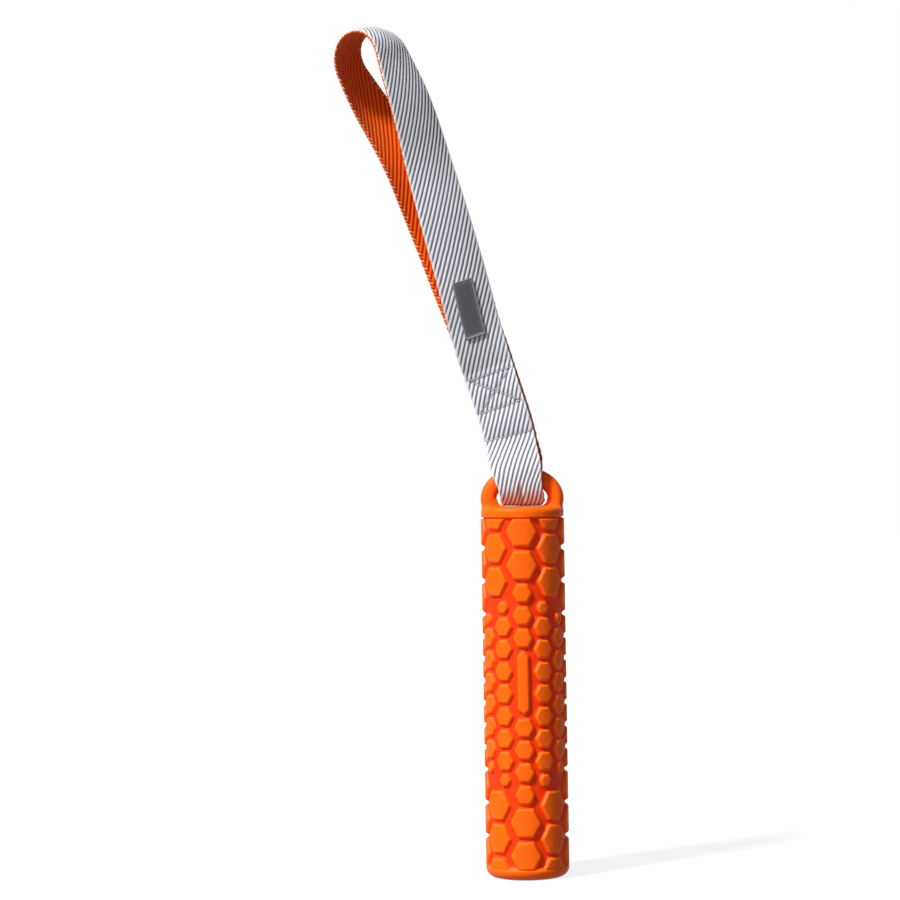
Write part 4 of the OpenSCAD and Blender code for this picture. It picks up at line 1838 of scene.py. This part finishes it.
    def build(self) -> bpy.types.Object:
        """Makes the strap's mesh and dresses it.

        Returns:
            The strap, which bends from the bail's loop to the hand loop.
        """
        grid = self.grid()
        rows, n = grid.across.shape
        i, j = np.meshgrid(np.arange(rows - 1), np.arange(n - 1), indexing="ij")
        a, b = (i * n + j).ravel(), (i * n + j + 1).ravel()
        d, c = a + n, b + n
        front = np.vstack([np.column_stack([a, b, c]), np.column_stack([a, c, d])])
        behind = np.vstack([np.column_stack([a, d, b]), np.column_stack([b, d, c])])
        outer = np.column_stack([grid.along.ravel(), grid.across.ravel(), np.ones(rows * n)])
        inner = outer * (1, 1, -1)
        plain = np.zeros(rows * n)
        parts = MeshParts()
        parts.add(self.sheet(grid, grid.outer), front, cloth=outer, pinch=grid.pinch.ravel())
        under = parts.add(self.sheet(grid, grid.inner), behind, cloth=inner, pinch=plain)
        for side in (-1, 1):
            self.add_side(parts, grid, side, under)
        for row, way in ((0, 1), (rows - 1, -1)):
            for p in range(row * n, row * n + n - 1):
                quad = (p, under + p, under + p + 1, p + 1)
                parts.bridge([quad if way > 0 else quad[::-1]])
        obj = parts.build("webbing_strap")
        dress(obj, TwillWebbing(self.angle, self.pitch, self.line.web_width / 2).material())
        bend(obj, self.line)
        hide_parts("bail_webbing", "hand_webbing")
        return obj


def bend(obj: bpy.types.Object, line: HandleLine) -> None:
    """Bakes a piece's placement into its mesh; the places just below and above the hand loop's
    bend are worked out but not used.
    """
    line.spot(line.bend_at - 15)
    line.spot(line.bend_at + 17)
    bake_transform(obj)


@dataclass
class Stitches:
    """Stitches of one thread, each a short round length that dips into the webbing."""

    line: HandleLine
    name: str
    node: str
    slot: Slot
    finish: SewingThread
    thickness: float = 0.62
    sides: int = 8
    stitch: float = 2.3
    pitch: float = 3.1
    rise: float = 0.34
    tilt: float = 0.10
    parts: MeshParts = field(default_factory=MeshParts)

    def add(self, path: np.ndarray, up: np.ndarray) -> None:
        """Adds one stitch.

        Args:
            path: Its middle line, in millimetres.
            up: The direction away from the webbing.
        """
        stations, sides = len(path), self.sides
        way = np.gradient(path, axis=0)
        way /= np.linalg.norm(way, axis=1)[:, None]
        side = np.cross(up, way)
        side /= np.linalg.norm(side, axis=1)[:, None]
        top = np.cross(way, side)
        t = np.linspace(-1, 1, stations)
        taper = 0.45 + 0.55 * np.sqrt(np.clip(1 - np.abs(t) ** 3.0, 0, 1))
        radius = (self.thickness / 2 * taper)[:, None, None]
        around = (TAU * np.arange(sides) / sides)[None, :, None]
        ring = (
            path[:, None, :]
            + radius * np.cos(around) * side[:, None, :]
            + radius * np.sin(around) * top[:, None, :]
        ).reshape(-1, 3)
        faces: list[tuple[int, ...]] = []
        for i in range(stations - 1):
            for k in range(sides):
                a, b = i * sides + k, i * sides + (k + 1) % sides
                faces.append((a, b, b + sides, a + sides))
        faces.append(tuple(range(sides - 1, -1, -1)))
        faces.append(tuple((stations - 1) * sides + k for k in range(sides)))
        lengths = np.linalg.norm(np.diff(path, axis=0), axis=1)
        along = np.repeat(np.concatenate([[0], np.cumsum(lengths)]), sides)
        turns = np.tile(np.arange(sides) / sides, stations)
        thread = np.column_stack([along, turns, np.zeros(stations * sides)])
        self.parts.add(ring, faces, thread=thread)

    def row(self, a: tuple[float, float], b: tuple[float, float], depth: float) -> None:
        """Adds a straight row of stitches on both faces of the sewn part.

        Args:
            a: The row's start, along the handle and across the webbing.
            b: Its end.
            depth: How far the sewn part's surface lies from its middle.
        """
        start, end = np.array(a), np.array(b)
        span = float(np.linalg.norm(end - start))
        count = 2 * max(1, round(span / self.pitch / 2))
        way = (end - start) / span
        t = np.linspace(-0.5, 0.5, 9)
        for k in range(count):
            middle = start + (end - start) * (k + 0.5) / count
            lean = np.array([-way[1], way[0]]) * self.tilt * (1 if k % 2 else -1)
            for face in Face:
                flat = middle + (t[:, None] * self.stitch) * way + (t[:, None] * 2) * lean
                high = depth + self.rise * (arch(t) - 0.75)
                path = self.line.place(flat[:, 0], face.value * high, flat[:, 1])
                away = self.line.place(flat[:, 0], face.value * (high + 1), flat[:, 1])
                self.add(path, away - path)

    def build(self, bends: bool, body: Body) -> bpy.types.Object:
        """Makes the stitches' mesh and dresses it.

        Args:
            bends: Whether they cross the handle's bend.
            body: The body that they ride on otherwise.

        Returns:
            The stitches.
        """
        obj = self.parts.build(self.name)
        dress(obj, self.finish.material())
        if bends:
            bend(obj, self.line)
        else:
            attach(obj, body.value)
        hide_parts(self.node)
        return obj


@dataclass
class Label:
    """The sewn rubber label: bare, with a raised border and a row of stitches down each side."""

    line: HandleLine
    width: float = 13.0
    length: float = 35.0
    thickness: float = 1.2
    lift: float = 0.03
    at: float = 105.0
    shift: float = -0.8
    inset: float = 1.7
    corner: float = 1.3
    border: float = 0.85
    sunk: float = 0.3
    stitch: float = 1.45
    stitch_rise: float = 0.26
    pitch: float = 2.2
    thread_thickness: float = 0.5
    thread: SewingThread = SewingThread(
        "label_thread", (0.014, 0.014, 0.017), (0.004, 0.004, 0.005)
    )

    # The face's height by the distance from its edge, and the mesh's lines beside the edge
    edge_at = (0.0, 0.1, 0.25, 0.4)
    edge_high = (0.55, 0.85, 0.97, 1.0)
    edge_lines = (0.0, 0.12, 0.27, 0.42, 0.7, 0.85, 1.0, 1.15)

    def distance(self, a: np.ndarray, b: np.ndarray) -> np.ndarray:
        """How far points lie inside the label's round-cornered outline."""
        qa = np.abs(a) - (self.length / 2 - self.corner)
        qb = np.abs(b) - (self.width / 2 - self.corner)
        outside = np.hypot(np.maximum(qa, 0), np.maximum(qb, 0))
        return self.corner - outside - np.minimum(np.maximum(qa, qb), 0)

    def off_border(self, inside: np.ndarray) -> np.ndarray:
        """Goes from 0 on the raised border to 1 on the sunk face, by the distance inside."""
        return ease(self.border - 0.15, self.border + 0.3, inside)

    def rise(self, inside: np.ndarray) -> np.ndarray:
        """The height of the label's face above its back, by the distance from its edge."""
        edge = self.thickness * np.interp(inside, self.edge_at, self.edge_high)
        return edge - self.sunk * self.off_border(inside)

    def relief(self, inside: np.ndarray) -> np.ndarray:
        """How pale the label is: 1 on its border, less under the stitches, 0 on its face."""
        off_seam = ease(self.inset + 0.35, self.inset + 0.7, inside)
        return (1 - 0.45 * self.off_border(inside) - 0.55 * off_seam).ravel()

    def lines(self, half: float, count: int) -> np.ndarray:
        """Places the mesh's lines across the label, close together beside both edges.

        Args:
            half: Half the label's size that way.
            count: How many lines lie between the edges.

        Returns:
            The lines' places.
        """
        edge = np.array(self.edge_lines)
        between = np.linspace(-half + 1.5, half - 1.5, count)
        return np.unique(np.round(np.concatenate([edge - half, between, half - edge]), 4))

    def grid(self) -> tuple[np.ndarray, np.ndarray]:
        """Lays the label's points out flat, bent round its corners.

        Returns:
            Their places along and across the label, from its middle.
        """
        la, lb = self.length / 2, self.width / 2
        ga, gb = np.meshgrid(self.lines(la, 53), self.lines(lb, 17), indexing="ij")
        ca, cb = la - self.corner, lb - self.corner
        over_a, over_b = np.abs(ga) - ca, np.abs(gb) - cb
        corner = (over_a > 0) & (over_b > 0)
        biggest, far = np.maximum(over_a, over_b), np.hypot(over_a, over_b)
        scale = np.where(corner & (far > 0), biggest / np.where(far > 0, far, 1), 1.0)
        ga = np.where(corner, np.sign(ga) * (ca + over_a * scale), ga)
        gb = np.where(corner, np.sign(gb) * (cb + over_b * scale), gb)
        return ga, gb

    def build(self) -> bpy.types.Object:
        """Makes the label's mesh and dresses it.

        Returns:
            The label, which rides on the hand loop.
        """
        h = self.line
        ga, gb = self.grid()
        rows, n = ga.shape
        inside = np.clip(self.distance(ga, gb), 0, None)
        u, w = self.at + ga, self.shift + gb
        base = h.half_gap(u) + (h.web_thickness / 2 + self.lift) - h.crowned(u, w)
        i, j = np.meshgrid(np.arange(rows - 1), np.arange(n - 1), indexing="ij")
        p = (i * n + j).ravel()
        quads = np.column_stack([p, p + 1, p + n + 1, p + n])
        face = h.place(u, base + self.rise(inside), w).reshape(-1, 3)
        back = h.place(u, base, w).reshape(-1, 3)
        parts = MeshParts()
        parts.add(face, quads, relief=self.relief(inside))
        under = parts.add(back, quads[:, ::-1], relief=np.zeros(rows * n))
        last = (rows - 1) * n
        loop = [*range(n), *range(2 * n - 1, last + n, n)]
        loop += [*range(last + n - 2, last - 1, -1), *range(last - n, 0, -n)]
        for here, after in zip(loop, [*loop[1:], loop[0]]):
            parts.bridge([(here, under + here, under + after, after)])
        obj = parts.build("sewn_label")
        weld(obj, 1e-7)
        dress(obj, LabelRubber().material())
        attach(obj, Body.HAND_LOOP.value)
        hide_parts("label_patch")
        return obj

    def stitches(self) -> bpy.types.Object:
        """Makes the label's stitches.

        Returns:
            The stitches, which ride on the hand loop.
        """
        h = self.line
        rows = Stitches(
            h,
            "label_stitches",
            "label_stitching",
            Slot.LABEL_THREAD,
            self.thread,
            thickness=self.thread_thickness,
        )
        span = self.length - 2 * self.inset
        count = int(span // self.pitch)
        t = np.linspace(-0.5, 0.5, 9)
        for k in range(count):
            u = self.at + (k + 0.5 - count / 2) * span / count + t * self.stitch
            for side in (1, -1):
                w = np.full(len(t), side * (self.width / 2 - self.inset) + self.shift)
                top = h.half_gap(u) + h.web_thickness / 2 + self.thickness - self.sunk
                high = top - h.crowned(u, w) + self.stitch_rise * (arch(t) - 0.5)
                path = h.place(u, high, w)
                rows.add(path, h.place(u, high + 1, w) - path)
        return rows.build(bends=False, body=Body.HAND_LOOP)


@dataclass
class Handle:
    """The webbing handle, with what is sewn to it and through it."""

    line: HandleLine = field(default_factory=HandleLine)
    cross_inset: float = 1.0
    cross_end: float = 1.2
    row_inset: float = 1.2
    thread: SewingThread = SewingThread("sewing_thread", (0.86, 0.86, 0.84), (0.42, 0.42, 0.43))

    def build(self) -> list[bpy.types.Object]:
        """Makes the handle's pieces.

        Returns:
            The strap, the stitches, the label and the label's stitches.
        """
        label = Label(self.line)
        return [Strap(self.line).build(), *self.sewing(), label.build(), label.stitches()]

    def sewing(self) -> list[bpy.types.Object]:
        """Makes the stitched box with its cross, and the single row beside the bail.

        Returns:
            The two groups of stitches.
        """
        h = self.line
        depth = h.run_half + h.web_thickness / 2
        box = Stitches(h, "box_stitches", "box_stitching", Slot.THREAD, self.thread)
        half = h.web_width / 2 - h.box_inset
        inner = half - self.cross_inset
        low, high = h.box_from + self.cross_end, h.box_to - self.cross_end
        box.row((h.box_to, -half), (h.box_to, half), depth)
        box.row((h.box_from, -half), (h.box_from, half), depth)
        box.row((low, -inner), (high, inner), depth)
        box.row((low, inner), (high, -inner), depth)
        row = Stitches(h, "row_stitches", "row_stitching", Slot.THREAD, self.thread)
        edge = h.web_width / 2 - self.row_inset
        row.row((h.row_at, -edge), (h.row_at, edge), depth)
        return [box.build(True, Body.BAIL_LOOP), row.build(False, Body.BAIL_LOOP)]


# --- The studio --------------------------------------------------------------


@dataclass(frozen=True)
class Lamp:
    """A distant light: how strong it is, where it stands in degrees, and how soft it is."""

    name: str
    strength: float
    turn: float
    rise: float
    soft: float

    def build(self) -> None:
        """Hangs the light, facing the part."""
        data = bpy.data.lights.new(self.name, "SUN")
        data.energy = self.strength
        data.angle = math.radians(self.soft)
        obj = bpy.data.objects.new(self.name, data)
        a, e = math.radians(self.turn), math.radians(self.rise)
        towards = Vector((math.cos(e) * math.sin(a), -math.cos(e) * math.cos(a), math.sin(e)))
        obj.rotation_mode = "QUATERNION"
        obj.rotation_quaternion = towards.to_track_quat("Z", "Y")
        obj.location = towards * 2
        bpy.context.scene.collection.objects.link(obj)


@dataclass(frozen=True)
class Studio:
    """The floor, the lights, the white surroundings and the camera."""

    view_distance: float = 1.7
    look_x: float = -0.0435
    look_z: float = 0.2602
    lens: float = 111.48
    sensor: float = 36.0
    sight: float = 30.0
    roll: float = 0.903
    turn: float = 3.4
    fill: float = 0.10
    fill_colour: Colour = (0.80, 0.88, 1.0)
    white: Colour = (1.0, 1.0, 1.0)
    lamps: tuple[Lamp, ...] = (
        Lamp("key", strength=5.0, turn=-46.0, rise=47.0, soft=9.0),
        Lamp("front", strength=0.5, turn=-20.0, rise=15.0, soft=60.0),
    )
    floor_reach: float = 6.0
    floor_rings: int = 24
    floor_sides: int = 64
    floor_drop: float = 0.05

    def camera(self) -> None:
        """Sets the camera level before the part's front."""
        data = bpy.data.cameras.new("view")
        data.lens = self.lens
        data.sensor_width = self.sensor
        data.clip_end = self.sight
        obj = bpy.data.objects.new("view", data)
        place = Matrix.Translation((self.look_x, -self.view_distance, self.look_z))
        roll = Matrix.Rotation(-math.radians(self.roll), 4, "Z")
        level = Matrix.Rotation(math.pi / 2, 4, "X") @ roll
        obj.matrix_world = Matrix.Rotation(math.radians(self.turn), 4, "Z") @ place @ level
        bpy.context.scene.collection.objects.link(obj)
        bpy.context.scene.camera = obj

    def world(self) -> None:
        """Fills the surroundings with weak light, and shows them white."""
        world = bpy.data.worlds.new("surroundings")
        bpy.context.scene.world = world
        world.use_nodes = True
        tree = world.node_tree
        fill = tree.nodes["Background"]
        fill.inputs["Color"].default_value = (*self.fill_colour, 1.0)
        fill.inputs["Strength"].default_value = self.fill
        white = tree.nodes.new("ShaderNodeBackground")
        white.inputs["Color"].default_value = (*self.white, 1.0)
        white.inputs["Strength"].default_value = 1.0
        rays = tree.nodes.new("ShaderNodeLightPath")
        seen = rays.outputs["Is Camera Ray"]
        for other in ("Is Glossy Ray", "Is Transmission Ray"):
            most = tree.nodes.new("ShaderNodeMath")
            most.operation = "MAXIMUM"
            tree.links.new(seen, most.inputs[0])
            tree.links.new(rays.outputs[other], most.inputs[1])
            seen = most.outputs[0]
        mix = tree.nodes.new("ShaderNodeMixShader")
        tree.links.new(seen, mix.inputs[0])
        tree.links.new(fill.outputs[0], mix.inputs[1])
        tree.links.new(white.outputs[0], mix.inputs[2])
        tree.links.new(mix.outputs[0], tree.nodes["World Output"].inputs["Surface"])

    def floor(self) -> bpy.types.Object:
        """Lays the floor under the part.

        Returns:
            The floor, a flat round sheet with its rings closer together under the part.
        """
        rings, sides = self.floor_rings, self.floor_sides
        points = [(0.0, 0.0, -self.floor_drop)]
        for r in range(1, rings + 1):
            radius = self.floor_reach / MM * (r / rings) ** 2
            for k in range(sides):
                a = TAU * k / sides
                points.append((radius * math.cos(a), radius * math.sin(a), -self.floor_drop))
        faces: list[tuple[int, ...]] = [(0, 1 + k, 1 + (k + 1) % sides) for k in range(sides)]
        for r in range(rings - 1):
            for k in range(sides):
                a, b = 1 + r * sides + k, 1 + r * sides + (k + 1) % sides
                faces.append((a, a + sides, b + sides, b))
        parts = MeshParts()
        parts.add(np.array(points), faces)
        obj = parts.build("floor")
        dress(obj, StudioFloor().material())
        return obj

    def build(self) -> None:
        """Makes the studio."""
        self.camera()
        for lamp in self.lamps:
            lamp.build()
        self.world()
        self.floor()
        bpy.context.scene.view_settings.view_transform = "Standard"


def report(obj: bpy.types.Object) -> None:
    """Logs a piece's name and size."""
    log.info("%s: %d points, %d faces", obj.name, len(obj.data.vertices), len(obj.data.polygons))


def main() -> None:
    """Builds the pieces in order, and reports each."""
    logging.basicConfig(level=logging.INFO, format="%(name)s: %(message)s")
    Studio().build()
    report(MouldedStick().build())
    for node, finish in (("foam_core", CellFoam()), ("fill_plug", PlugRubber())):
        dress(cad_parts[node], finish.material())
        report(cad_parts[node])
    for piece in Handle().build():
        report(piece)


if __name__ == "__main__":
    main()
